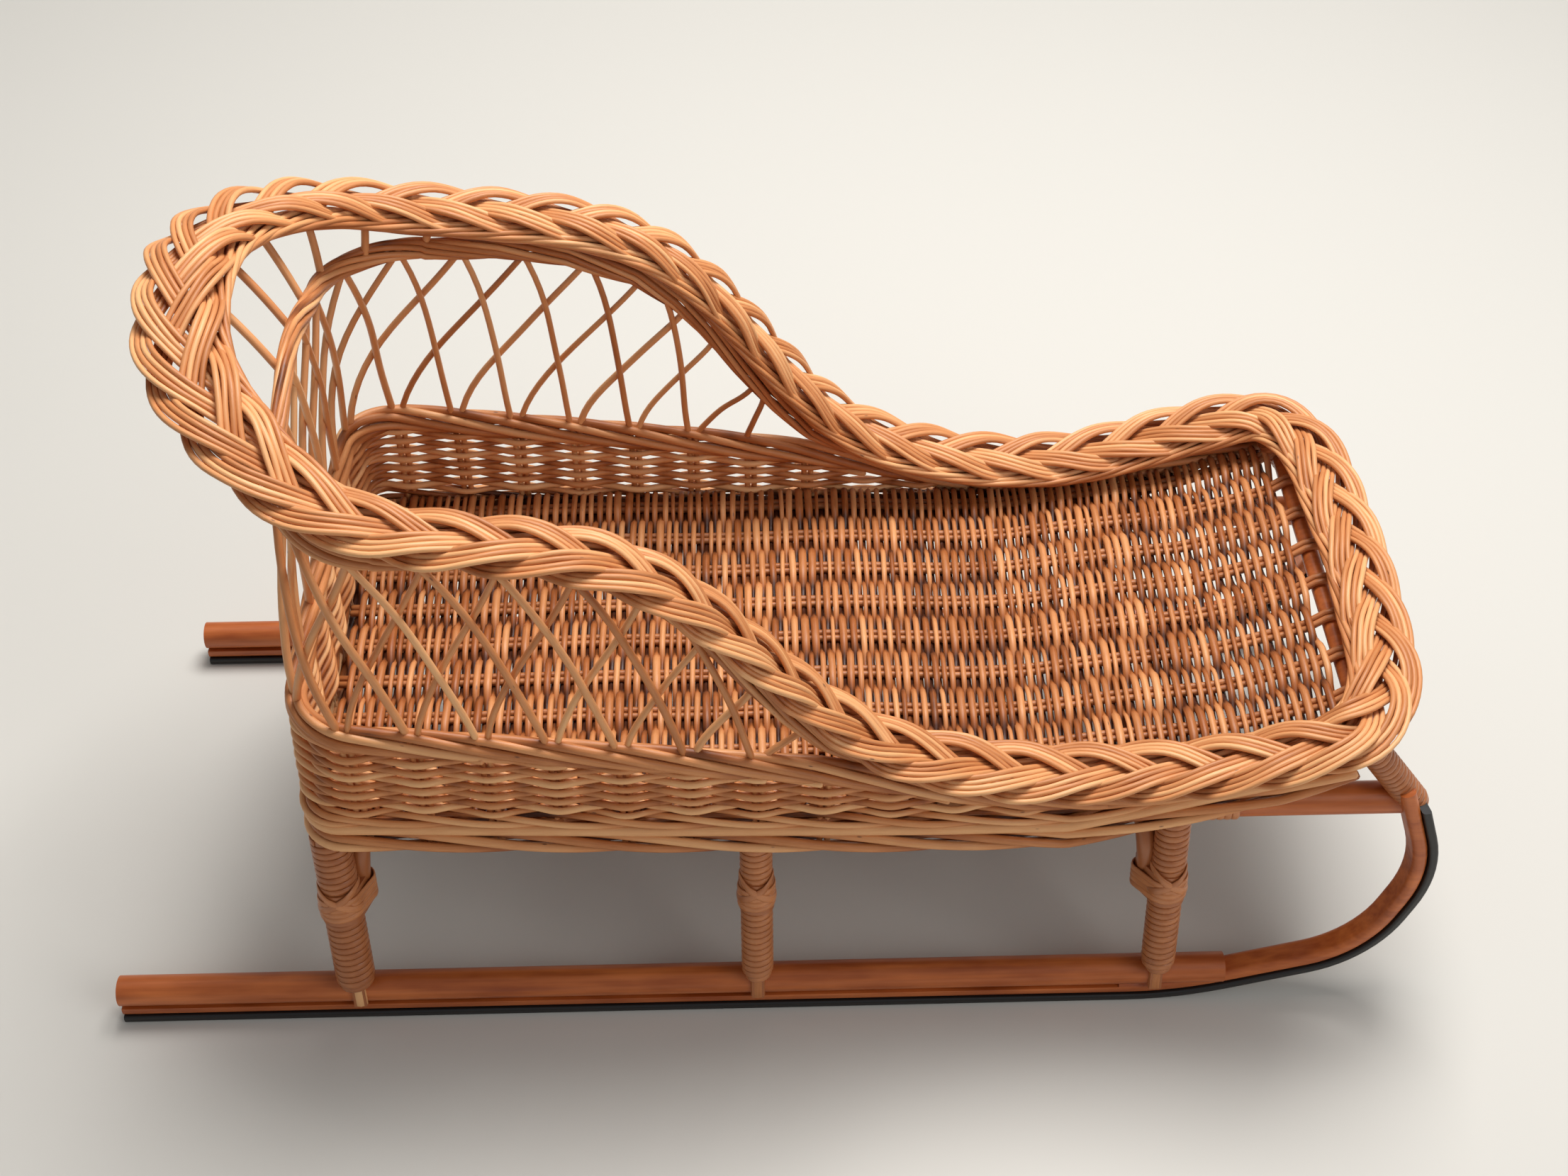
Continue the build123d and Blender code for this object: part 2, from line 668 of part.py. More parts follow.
os.makedirs("parts", exist_ok=True)
for node, shape in build().items():
    solids = shape if isinstance(shape, list) else shape.solids()
    whole = solids[0] if len(solids) == 1 else Compound(children=list(solids))
    whole.label = node
    export_step(whole, f"parts/{node}.step")
    print(node, len(solids), round(sum(solid.volume for solid in solids)))
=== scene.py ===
"""Looks of a child's wicker snow sled: its woven willow basket, wound posts and stained runners."""

import bpy
import numpy as np
from bpy.props import FloatProperty, FloatVectorProperty, IntProperty, PointerProperty
from bpy.types import Operator, Panel, PropertyGroup
from mathutils import Matrix, Vector


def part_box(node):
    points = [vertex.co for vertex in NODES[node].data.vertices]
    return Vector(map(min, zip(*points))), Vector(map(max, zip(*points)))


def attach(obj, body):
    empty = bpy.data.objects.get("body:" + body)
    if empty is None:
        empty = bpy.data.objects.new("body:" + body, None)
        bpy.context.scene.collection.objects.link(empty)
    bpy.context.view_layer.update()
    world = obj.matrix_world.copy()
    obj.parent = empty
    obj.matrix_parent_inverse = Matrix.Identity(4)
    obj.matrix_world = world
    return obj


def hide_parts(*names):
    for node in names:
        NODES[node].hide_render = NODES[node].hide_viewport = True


bl_info = {
    "name": "Wicker Snow Sled",
    "version": (1, 0, 0),
    "blender": (4, 5, 0),
    "location": "View3D > Sidebar > Sled",
    "description": "Weaves the basket of a snow sled and finishes its posts and runners",
    "category": "Add Mesh",
}

MM = 0.001
SIDES = {"right": -1.0, "left": 1.0}

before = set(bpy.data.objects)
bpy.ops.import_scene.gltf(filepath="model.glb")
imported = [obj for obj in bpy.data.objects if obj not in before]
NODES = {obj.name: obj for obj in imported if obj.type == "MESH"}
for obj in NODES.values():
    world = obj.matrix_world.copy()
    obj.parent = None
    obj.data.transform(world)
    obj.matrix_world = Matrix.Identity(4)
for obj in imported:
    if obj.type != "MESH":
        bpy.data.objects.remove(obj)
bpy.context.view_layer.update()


def linear(code):
    """An sRGB hex colour as linear red, green and blue."""
    parts = np.array([int(code[i : i + 2], 16) for i in (1, 3, 5)]) / 255.0
    return tuple(np.where(parts <= 0.04045, parts / 12.92, ((parts + 0.055) / 1.055) ** 2.4))


def node_box(name):
    """The lowest and highest corners of a node of the model, in millimetres."""
    low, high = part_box(name)
    return np.array(low) / MM, np.array(high) / MM


# Places of the basket in millimetres, from the model's boxes
WALL_LOW, WALL_HIGH = node_box("basket_wall")
BAND_LOW, BAND_HIGH = node_box("upper_band")
RAIL_LOW, RAIL_HIGH = node_box("rail_right")
WALL_THICKNESS = 6.0
BAND_THICKNESS = 8.0
WALL_HALF_WIDTH = WALL_HIGH[1] - WALL_THICKNESS / 2
WALL_REAR = WALL_LOW[0] + WALL_THICKNESS / 2
WALL_FRONT = WALL_HIGH[0]
BAND_HALF_WIDTH = BAND_HIGH[1] - BAND_THICKNESS / 2
BAND_REAR_X = BAND_LOW[0] + BAND_THICKNESS / 2
RAIL_HEIGHT = (RAIL_LOW[2] + RAIL_HIGH[2]) / 2
RAIL_OFFSET = -(RAIL_LOW[1] + RAIL_HIGH[1]) / 2

# Radii of the rear corners in plan: the wall's at its top edge and at its foot, and the upper band's
WALL_CORNER = 42.0
FOOT_CORNER = 20.0
BAND_CORNER = 65.0

# columns: x, height above the rails
WALL_BOTTOM = np.array([(-336, -9), (-246, -12), (-89, -19), (109, -24), (209, -24), (257, -10), (351, 20),
                        (414, 52)])
WALL_TOP = np.array([(-336, 119), (-242, 109), (-103, 91), (32, 72), (79, 62), (134, 48), (178, 39),
                     (225, 37), (271, 42), (315, 53), (358, 66), (414, 81)])
SEAT_TOP = np.array([(-307, 25), (199, 25), (324, 41), (401, 68.5)])
BAND_SIDE = np.array([(-235, 260), (-183, 260), (-134, 253), (-86, 235), (-57, 212), (-36.5, 188),
                      (-11.5, 151), (15.5, 114), (43, 84), (87, 60), (134, 45), (180, 37)])
# columns: x, how much farther out the band lies there, where it meets the wall under the rim
BAND_OUT = np.array([(-60, 0.0), (60, 1.5), (120, 3.5), (180, 4.0)])
# columns: y, height above the rails
BAND_BACK = np.array([(0, 298), (18, 296.5), (38, 291), (62, 282.5), (85, 275), (110, 268.5), (140, 263),
                      (170, 260)])
# columns: x, half width as a share of the low wall's, height above the rails, from the rear to the front
RIM = np.array([(-355, 0, 357), (-344, 0.444, 345), (-328, 0.611, 337), (-305, 0.772, 325),
                (-269, 0.932, 306), (-197, 1.031, 287), (-115, 1.037, 273), (-78, 1.037, 257),
                (-42, 1.037, 227), (-3, 1.025, 179), (42, 1.006, 121), (87, 1.0, 82), (134, 0.994, 62.5),
                (178, 0.994, 53), (225, 0.994, 51), (271, 1.012, 56), (315, 1.037, 67), (358, 1.043, 80),
                (393, 1.006, 90), (418, 0.815, 94), (428, 0.407, 94), (431, 0, 94)])
# columns: x, how much wider the plait spreads there
PLAIT_SPREAD = np.array([(-355, 1.45), (-305, 1.35), (-240, 1.1), (0, 1.1), (110, 1.25), (350, 1.2),
                         (431, 1.05)])

# columns: layer, side of the wall's middle that it keeps to, move along the wall for its rise
LATTICE_LAYERS = [("outer", 1, 0.60), ("inner", -1, -0.32)]
LATTICE_FRONT_X = 43.0

# columns: name, x at the pole, x at the rail, core radius, arch leg's place forward and inward of the axis
POSTS = [
    ("rear", -299.0, -304.0, 13.0, 12.5, 15.6),
    ("middle", -7.0, -7.0, 10.5, 0.0, 18.1),
    ("front", 287.0, 287.0, 11.25, -13.2, 13.2),
]
POLE_HEIGHT, POLE_OFFSET, POST_LEAN = 26.25, 191.55, 0.2683
COLLAR_HEIGHT, LEG_RADIUS = 116.5, 7.0

# columns: name, place in metres, width in metres, watts
LAMPS = [("key", (0.35, 0.75, 2.7), 1.3, 84.0), ("fill", (1.9, -1.5, 1.7), 1.4, 15.0)]


# Sizes and colours
def size(name, description, default):
    """A length in millimetres as a property in metres."""
    return FloatProperty(name=name, description=description, default=default * MM, min=0.0, unit="LENGTH")


def colour(name, description, code):
    """A colour property from its sRGB hex value."""
    return FloatVectorProperty(name=name, description=description, default=linear(code), subtype="COLOR",
                               min=0.0, max=1.0)


class SledSizes(PropertyGroup):
    rim_rod: size("Rim rod", "Thickness of a willow rod in the rim's plait", 3.9)
    rim_rods: IntProperty(name="Rods", description="Rods side by side in one strand", default=4, min=2)
    rim_turns: IntProperty(name="Turns", description="Turns of the plait round the rim", default=10, min=6)
    rim_swing: size("Swing", "How far a strand swings to each side of the rim's middle", 15.0)
    rim_lift: size("Lift", "How far a strand rises and dips as it crosses the others", 6.0)
    weaver: size("Weaver", "Mean thickness of a rod woven across the seat", 4.9)
    weaver_pitch: size("Weaver pitch", "Distance between the rods woven across the seat", 3.5)
    wall_weaver: size("Wall weaver", "Thickness of a rod woven along the wall", 4.8)
    wall_row: size("Wall row", "Height of one row of the wall", 4.7)
    wale_rod: size("Wale rod", "Thickness of the heavy rods along the wall's edges", 6.4)
    lattice_rod: size("Lattice rod", "Thickness of a rod of the lattice", 4.9)
    stake_pitch: size("Stake pitch", "Distance between the pairs of stakes in the wall", 45.0)
    warp_pitch: size("Warp pitch", "Distance between the pairs of rods that run along the seat", 36.0)
    skein_width: size("Skein width", "Width of the flat skein wound round posts and horns", 5.4)
    skein_thickness: size("Skein thickness", "Thickness of that skein", 1.7)


class SledColours(PropertyGroup):
    willow_light: colour("Willow, light", "The palest of the boiled and peeled rods", "#efb57c")
    willow_mid: colour("Willow, middle", "Most of the rods", "#d48d56")
    willow_dark: colour("Willow, dark", "The brownest of the rods", "#a45c2b")
    # painted shade: the darkest willow colour, given where a rod dives under others and lies in shadow
    willow_painted_shade: colour("Willow, shade", "Rods where they dive under the others", "#4a2009")
    skein_light: colour("Skein, light", "Crown of the wound skein", "#d98f5a")
    skein_dark: colour("Skein, dark", "Brown streaks of the skein", "#8e4a22")
    stain_light: colour("Stain, light", "Thin places of the stain on the runners", "#cf7236")
    stain_dark: colour("Stain, dark", "Where the stain is thick", "#9a4718")
    sole: colour("Sole", "The black sole", "#1c1a19")
    floor: colour("Floor", "The pale floor and backdrop", "#d6d2ca")


# Rods: closed tubes along many paths at once
END_STEP, END_SIZE = 0.45, 0.6
PATTERN_SHIFT = 5000.0


def unit(vectors):
    return vectors / np.linalg.norm(vectors, axis=-1, keepdims=True)


def with_ends(rows, factor=1.0):
    """Each row with its first and last values repeated, times a factor."""
    return np.concatenate([rows[:, :1] * factor, rows, rows[:, -1:] * factor], axis=1)


def tubes(paths, reference, radial, lateral=None, sides=8, closed=False, tones=None, seed=0):
    """Tubes along paths of shape (rods, points, 3), in millimetres. The side direction is the reference
    crossed with the path's direction, and the lift direction is that one crossed with the side. A ring point
    lies radial * cos(turn) along the side and lateral * sin(turn) along the lift. An open tube ends in a
    smaller ring. Tones are one for each rod, or one for each point of each rod."""
    paths = np.asarray(paths, float)
    count, points = paths.shape[:2]
    radial = np.broadcast_to(radial, (count, points)).astype(float)
    lateral = radial if lateral is None else np.broadcast_to(lateral, (count, points)).astype(float)
    if closed:
        tangent = unit(np.roll(paths, -1, axis=1) - np.roll(paths, 1, axis=1))
    else:
        tangent = unit(np.gradient(paths, axis=1))
    side = unit(np.cross(np.broadcast_to(reference, paths.shape), tangent))
    lift = np.cross(tangent, side)
    if not closed:
        step = tangent[:, [0, -1]] * radial[:, [0, -1], None] * END_STEP
        paths = np.concatenate([paths[:, :1] - step[:, :1], paths, paths[:, -1:] + step[:, 1:]], axis=1)
        side, lift = with_ends(side), with_ends(lift)
        radial, lateral = with_ends(radial, END_SIZE), with_ends(lateral, END_SIZE)
        points += 2
    turn = 2 * np.pi * np.arange(sides) / sides
    rings = (paths[:, :, None] + (radial[..., None] * np.cos(turn))[..., None] * side[:, :, None]
             + (lateral[..., None] * np.sin(turn))[..., None] * lift[:, :, None])
    rod = np.arange(count)[:, None, None]
    ring = np.arange(points if closed else points - 1)[None, :, None]
    corner = np.arange(sides)[None, None, :]
    beside = (corner + 1) % sides
    here = (rod * points + ring) * sides
    there = (rod * points + (ring + 1) % points) * sides
    quads = np.stack([here + corner, here + beside, there + beside, there + corner], axis=-1)
    run = np.linalg.norm(np.diff(paths, axis=1, append=paths[:, :1]), axis=2)
    along = np.concatenate([np.zeros((count, 1)), np.cumsum(run, axis=1)], axis=1)
    random = np.random.default_rng(seed)
    start = along[:, ring[0, :, 0], None] + random.uniform(0, PATTERN_SHIFT, count)[:, None, None]
    end = start + run[:, ring[0, :, 0], None]
    round_step = radial.mean() * 2 * np.pi / sides
    u = np.stack(np.broadcast_arrays(start, start, end, end), axis=-1)
    v = np.stack(np.broadcast_arrays(corner, corner + 1, corner + 1, corner), axis=-1) * round_step
    uv = np.stack([np.broadcast_to(u, quads.shape), np.broadcast_to(v, quads.shape)], axis=-1)
    first = np.arange(count)[:, None] * points * sides + np.arange(sides)
    ends = np.concatenate([first[:, ::-1], first + (points - 1) * sides])
    # tones hold each rod's own brown and, where given for each point, painted shade along it
    tones = np.asarray(random.uniform(0, 1, count) if tones is None else tones, float)
    if tones.ndim == 2 and not closed:
        tones = with_ends(tones)
    tones = np.broadcast_to(tones if tones.ndim == 2 else tones[:, None], (count, points))
    return {
        "points": rings.reshape(-1, 3),
        "quads": quads.reshape(-1, 4),
        "ends": ends[:0] if closed else ends,
        "uv": uv.reshape(-1, 2) * MM,
        "tone": np.repeat(tones.ravel(), sides),
    }


def make_piece(context, name, groups, slot, *replaced):
    """One mesh from groups of tubes, with lengths along and round the rods as a UV map, and tones."""
    offset = 0
    points, corners, sizes, uv, tone = [], [], [], [], []
    for group in groups:
        points.append(group["points"])
        end_map = np.zeros((group["ends"].size, 2))
        for faces, face_map in ((group["quads"], group["uv"]), (group["ends"], end_map)):
            corners.append((faces + offset).ravel())
            sizes.append(np.full(len(faces), faces.shape[1]))
            uv.append(face_map)
        tone.append(group["tone"])
        offset += len(group["points"])
    points, corners, sizes, uv, tone = (np.concatenate(rows) for rows in (points, corners, sizes, uv, tone))
    starts = np.concatenate([[0], np.cumsum(sizes)[:-1]])
    mesh = bpy.data.meshes.new(name)
    mesh.vertices.add(len(points))
    mesh.vertices.foreach_set("co", (points * MM).astype(np.float32).ravel())
    mesh.loops.add(len(corners))
    mesh.loops.foreach_set("vertex_index", corners.astype(np.int32))
    mesh.polygons.add(len(sizes))
    mesh.polygons.foreach_set("loop_start", starts.astype(np.int32))
    mesh.polygons.foreach_set("use_smooth", np.ones(len(sizes), bool))
    mesh.uv_layers.new(name="rod").data.foreach_set("uv", uv.astype(np.float32).ravel())
    # the tone attribute holds the rods' own browns and painted shade
    mesh.attributes.new("tone", "FLOAT", "POINT").data.foreach_set("value", tone.astype(np.float32))
    mesh.update(calc_edges=True)
    mesh.materials.append(material_for(context, slot))
    piece = bpy.data.objects.new(name, mesh)
    context.scene.collection.objects.link(piece)
    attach(piece, "root")
    if replaced:
        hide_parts(*replaced)


# Lines of the basket, by distances round it from the middle of the rear, which are negative on the right
WALL_TURN_END = WALL_HALF_WIDTH - WALL_CORNER + WALL_CORNER * np.pi / 2
WALL_END = WALL_TURN_END + WALL_FRONT - WALL_REAR - WALL_CORNER
BAND_TURN_END = BAND_HALF_WIDTH - BAND_CORNER + BAND_CORNER * np.pi / 2
BAND_END = BAND_TURN_END + BAND_SIDE[-1, 0] - BAND_REAR_X - BAND_CORNER
LATTICE_END = BAND_END - BAND_SIDE[-1, 0] + LATTICE_FRONT_X


def read(table, values):
    """Heights above the floor from a table of heights above the rails."""
    return RAIL_HEIGHT + np.interp(values, table[:, 0], table[:, 1])


def plan(distance, half_width, rear, corner, offset):
    """Points of a U in plan by their distance from the middle of the rear, moved outwards by an offset.
    The straight rear comes first, then a quarter circle, then the straight side."""
    distance, offset, corner = np.broadcast_arrays(np.asarray(distance, float), offset, corner)
    run = np.abs(distance)
    rear_run = half_width - corner
    turn = np.clip((run - rear_run) / corner, 0, np.pi / 2)
    ahead = np.maximum(run - rear_run - corner * np.pi / 2, 0)
    radius = corner + offset
    x = rear + corner - radius * np.cos(turn) + ahead
    y = np.minimum(run, rear_run) + radius * np.sin(turn)
    return x, np.where(distance < 0, -y, y)


def wall_plan(distance, offset=0.0, corner=WALL_CORNER):
    """Points of the wall in plan by their distance along its top edge. A row with a tighter corner is longer,
    so its distances are stretched up to the end of the turn, and the stakes along the sides stay upright."""
    distance, corner = np.asarray(distance, float), np.asarray(corner, float)
    longer = (2 - np.pi / 2) * (WALL_CORNER - corner)
    run = distance + longer * np.clip(distance / WALL_TURN_END, -1, 1)
    return plan(run, WALL_HALF_WIDTH, WALL_REAR, corner, offset)


def corner_at(share):
    """The wall's corner radius by a share of its height, from its foot to its top edge."""
    return FOOT_CORNER + (WALL_CORNER - FOOT_CORNER) * share


def band_point(distance, offset=0.0):
    """A point of the upper band's middle line."""
    x, _ = plan(distance, BAND_HALF_WIDTH, BAND_REAR_X, BAND_CORNER, offset)
    offset = offset + np.interp(x, BAND_OUT[:, 0], BAND_OUT[:, 1])
    x, y = plan(distance, BAND_HALF_WIDTH, BAND_REAR_X, BAND_CORNER, offset)
    height = np.where(x < BAND_SIDE[0, 0], read(BAND_BACK, np.abs(y)), read(BAND_SIDE, x))
    return np.stack([x, y, height], axis=-1)


def stake_places(pitch):
    """Distances of the wall's 23 pairs of stakes, the middle one at the middle of the rear."""
    return (np.arange(23) - 11) * pitch


def rim_line(count):
    """The rim's middle line as evenly spaced points, and its length: a closed cubic spline through the
    table's points, down the right side and back up the left one."""
    steps_a_span = 60
    rows = np.stack([RIM[:, 0], RIM[:, 1] * WALL_HALF_WIDTH, RIM[:, 2] + RAIL_HEIGHT], axis=1)
    knots = np.concatenate([rows * (1, -1, 1), rows[-2:0:-1]])
    after = np.roll(knots, -1, axis=0)
    gap = np.linalg.norm(after - knots, axis=1)
    before_gap = np.roll(gap, 1)
    slope = (after - knots) / gap[:, None]
    order = np.arange(len(knots))
    system = np.zeros((len(knots), len(knots)))
    system[order, order] = 2 * (gap + before_gap)
    system[order, (order + 1) % len(knots)] = gap
    system[order, order - 1] = before_gap
    bend = np.linalg.solve(system, 6 * (slope - np.roll(slope, 1, axis=0)))
    after_bend = np.roll(bend, -1, axis=0)
    share = np.linspace(0, 1, steps_a_span, endpoint=False)[None, :, None]
    gap = gap[:, None, None]
    fine = (knots[:, None] * (1 - share) + after[:, None] * share
            + gap**2 / 6 * (((1 - share) ** 3 - (1 - share)) * bend[:, None]
                            + (share**3 - share) * after_bend[:, None])).reshape(-1, 3)
    fine = np.concatenate([fine, fine[:1]])
    length = np.concatenate([[0], np.cumsum(np.linalg.norm(np.diff(fine, axis=0), axis=1))])
    even = np.linspace(0, length[-1], count, endpoint=False)
    return np.stack([np.interp(even, length, fine[:, i]) for i in range(3)], axis=1), length[-1]


def rim_directions(line):
    """Outwards and level at each point of the rim, and upwards at a right angle to that and to the rim."""
    along = unit(np.roll(line, -1, axis=0) - np.roll(line, 1, axis=0))
    out = unit(np.stack([along[:, 1], -along[:, 0], np.zeros(len(line))], axis=1))
    return out, np.cross(out, along)


def edge_directions(points):
    """Outwards and upwards directions along an open line round the basket, from right front to left front."""
    along = unit(np.gradient(points, axis=0))
    out = unit(np.stack([-along[:, 1], along[:, 0], np.zeros(len(points))], axis=1))
    return out, np.cross(along, out)


def wobble(seed, shape, count, low, high):
    """Smooth random waves from -1 to 1, of whole turns over the last axis, one for each row."""
    random = np.random.default_rng(seed)
    share = np.arange(count) / count
    total = np.zeros((*shape, count))
    for _ in range(3):
        turns = random.integers(low, high, shape)[..., None]
        total += np.sin(2 * np.pi * (turns * share + random.uniform(0, 1, shape)[..., None]))
    return total / 3


# Materials
def add_node(tree, kind, inputs=None, **settings):
    """Adds a node, sets its attributes, and sets or links its inputs by name or number."""
    node = tree.nodes.new(f"ShaderNode{kind}")
    for key, value in settings.items():
        setattr(node, key, value)
    for key, value in (inputs or {}).items():
        if isinstance(value, bpy.types.NodeSocket):
            tree.links.new(value, node.inputs[key])
        else:
            node.inputs[key].default_value = value
    return node


def new_material(name):
    material = bpy.data.materials.new(name)
    material.use_nodes = True
    tree = material.node_tree
    return material, tree, tree.nodes["Principled BSDF"]


def rgba(value):
    return (*value, 1.0)


def rod_pattern(tree, along_mm, round_mm, detail):
    """Noise stretched along a rod, from its own map of lengths along and round."""
    place = add_node(tree, "UVMap", uv_map="rod")
    stretch = add_node(tree, "Mapping", {"Vector": place.outputs["UV"],
                                         "Scale": (1 / (along_mm * MM), 1 / (round_mm * MM), 1)})
    return add_node(tree, "TexNoise", {"Vector": stretch.outputs["Vector"], "Scale": 1.0,
                                       "Detail": detail, "Roughness": 0.6}).outputs["Fac"]


def pole_pattern(tree, waves_a_metre, detail):
    """Noise over the object's coordinates, stretched along X by fewer waves a metre than across it."""
    place = add_node(tree, "TexCoord")
    stretch = add_node(tree, "Mapping", {"Vector": place.outputs["Object"], "Scale": waves_a_metre})
    return add_node(tree, "TexNoise", {"Vector": stretch.outputs["Vector"], "Scale": 1.0,
                                       "Detail": detail}).outputs["Fac"]


def rod_shade(tree, patches, patch_weight, streaks, streak_weight):
    """The tone of a rod's points plus its patches and its streaks, each times a weight."""
    # the tone attribute brings the rod's own brown and its painted shade
    tone = add_node(tree, "Attribute", attribute_name="tone")
    mixed = add_node(tree, "Math", {0: patches, 1: patch_weight, 2: tone.outputs["Fac"]},
                     operation="MULTIPLY_ADD")
    return add_node(tree, "Math", {0: streaks, 1: streak_weight, 2: mixed.outputs[0]},
                    operation="MULTIPLY_ADD").outputs[0]


def finish_surface(tree, shader, colour_output, relief, strength, depth_mm, roughness, ior):
    """Gives the shader its colour, a fine relief, its roughness and its IOR."""
    tree.links.new(colour_output, shader.inputs["Base Color"])
    bump = add_node(tree, "Bump", {"Height": relief, "Strength": strength, "Distance": depth_mm * MM})
    tree.links.new(bump.outputs["Normal"], shader.inputs["Normal"])
    shader.inputs["Roughness"].default_value = roughness
    shader.inputs["IOR"].default_value = ior


def buff_willow(context):
    """Boiled and peeled willow: each rod its own brown, with fine streaks, dark buds, a satin skin and
    painted shade.
    """
    colours = context.scene.sled_colours
    material, tree, shader = new_material("buff_willow_rods")
    patches = rod_pattern(tree, 60, 40, 2.0)
    streaks = rod_pattern(tree, 14, 1.1, 3.0)
    shade = rod_shade(tree, patches, 0.9, streaks, 0.55)
    ramp = add_node(tree, "MapRange", {"Value": shade, "From Min": 0.0, "From Max": 1.8})
    browns = add_node(tree, "ValToRGB", {"Fac": ramp.outputs["Result"]})
    elements = browns.color_ramp.elements
    # the ramp's low end is painted shade, reached where a rod's tone is lowered as it dives under others
    elements[0].color = rgba(colours.willow_painted_shade)
    elements[1].color = rgba(colours.willow_light)
    elements.new(0.28).color = rgba(colours.willow_dark)
    elements.new(0.62).color = rgba(colours.willow_mid)
    # a bud in each cell, of which a metre has 32 along a rod and 95 round it
    place = add_node(tree, "UVMap", uv_map="rod")
    spread = add_node(tree, "Mapping", {"Vector": place.outputs["UV"], "Scale": (32, 95, 1)})
    buds = add_node(tree, "TexVoronoi", {"Vector": spread.outputs["Vector"], "Scale": 1.0})
    spot = add_node(tree, "MapRange", {"Value": buds.outputs["Distance"], "From Min": 0.035,
                                       "From Max": 0.075, "To Min": 0.75, "To Max": 0.0})
    spotted = add_node(tree, "Mix", {0: spot.outputs["Result"], "A": browns.outputs["Color"],
                                     "B": (0.13, 0.05, 0.025, 1)}, data_type="RGBA")
    finish_surface(tree, shader, spotted.outputs["Result"], streaks, 0.35, 0.6, 0.46, 1.48)
    return material


def willow_skein(context):
    """Split and shaved willow skein: flat, brown and glossy, streaked along its length."""
    colours = context.scene.sled_colours
    material, tree, shader = new_material("shaved_willow_skein")
    patches = rod_pattern(tree, 22, 30, 2.0)
    streaks = rod_pattern(tree, 16, 0.8, 3.0)
    shade = rod_shade(tree, patches, 1.1, streaks, 0.5)
    ramp = add_node(tree, "MapRange", {"Value": shade, "From Min": 0.4, "From Max": 1.7})
    blend = add_node(tree, "Mix", {0: ramp.outputs["Result"], "A": rgba(colours.skein_dark),
                                   "B": rgba(colours.skein_light)}, data_type="RGBA")
    finish_surface(tree, shader, blend.outputs["Result"], streaks, 0.3, 0.5, 0.3, 1.5)
    return material


def stained_wood(context):
    """Peeled poles with a thin orange-brown stain: grain along X, blotches where it soaked in, satin skin."""
    colours = context.scene.sled_colours
    material, tree, shader = new_material("stained_peeled_pole")
    grain = pole_pattern(tree, (9, 260, 260), 4.0)
    blotches = pole_pattern(tree, (14, 60, 60), 3.0)
    shade = add_node(tree, "Math", {0: grain, 1: 0.6, 2: blotches}, operation="MULTIPLY_ADD")
    ramp = add_node(tree, "MapRange", {"Value": shade.outputs[0], "From Min": 0.55, "From Max": 1.05})
    blend = add_node(tree, "Mix", {0: ramp.outputs["Result"], "A": rgba(colours.stain_dark),
                                   "B": rgba(colours.stain_light)}, data_type="RGBA")
    finish_surface(tree, shader, blend.outputs["Result"], grain, 0.25, 0.6, 0.38, 1.5)
    return material


def sole_rubber(context):
    """An extruded black sole: smooth and satin with fine scuffs along it."""
    material, tree, shader = new_material("extruded_black_sole")
    scuffs = pole_pattern(tree, (25, 400, 400), 2.0)
    rough = add_node(tree, "MapRange", {"Value": scuffs, "To Min": 0.25, "To Max": 0.5})
    tree.links.new(rough.outputs["Result"], shader.inputs["Roughness"])
    shader.inputs["Base Color"].default_value = rgba(context.scene.sled_colours.sole)
    return material


MATERIAL_MAKERS = {make.__name__: make for make in (buff_willow, willow_skein, stained_wood, sole_rubber)}


def material_for(context, slot):
    """The slot's material, made once."""
    key = f"sled_{slot}"
    if key not in bpy.data.materials:
        material = MATERIAL_MAKERS[slot](context)
        material.name = key
    return bpy.data.materials[key]


def finish_nodes(context, slot, *names):
    """Nodes of the model that keep their shape get the slot's material."""
    for name in names:
        mesh = NODES[name].data
        mesh.materials.clear()
        mesh.materials.append(material_for(context, slot))


# Pieces
def inner_roll(context, line, out, up, spread):
    """Long rods that wind slowly round each other under the inner edge of the plait."""
    sizes = context.scene.sled_sizes
    rods, turns = 10, 7
    half_depth, half_height, inside_swing, below_line = 10.0, 4.0, 2.5, 6.5
    share = np.arange(len(line)) / len(line)
    phase = 2 * np.pi * (turns * share + np.arange(rods)[:, None] / rods)
    centre = line - out * (sizes.rim_swing / MM * spread - inside_swing)[:, None] - up * below_line
    paths = (centre + (half_depth * np.cos(phase))[..., None] * out
             + (half_height * np.sin(phase))[..., None] * up)
    paths += 0.6 * wobble(31, (rods,), len(line), 10, 40)[..., None] * up
    # painted shade: each rod darker where it turns to the underside of the roll, beneath the plait
    tones = np.random.default_rng(32).uniform(0.0, 1.0, (rods, 1)) + 0.3 * (np.sin(phase) - 1)
    radius = sizes.rim_rod / MM / 2 * 1.05
    group = tubes(paths, up, radius, closed=True, tones=tones, sides=7, seed=33)
    make_piece(context, "rim_inner_roll", [group], "buff_willow")


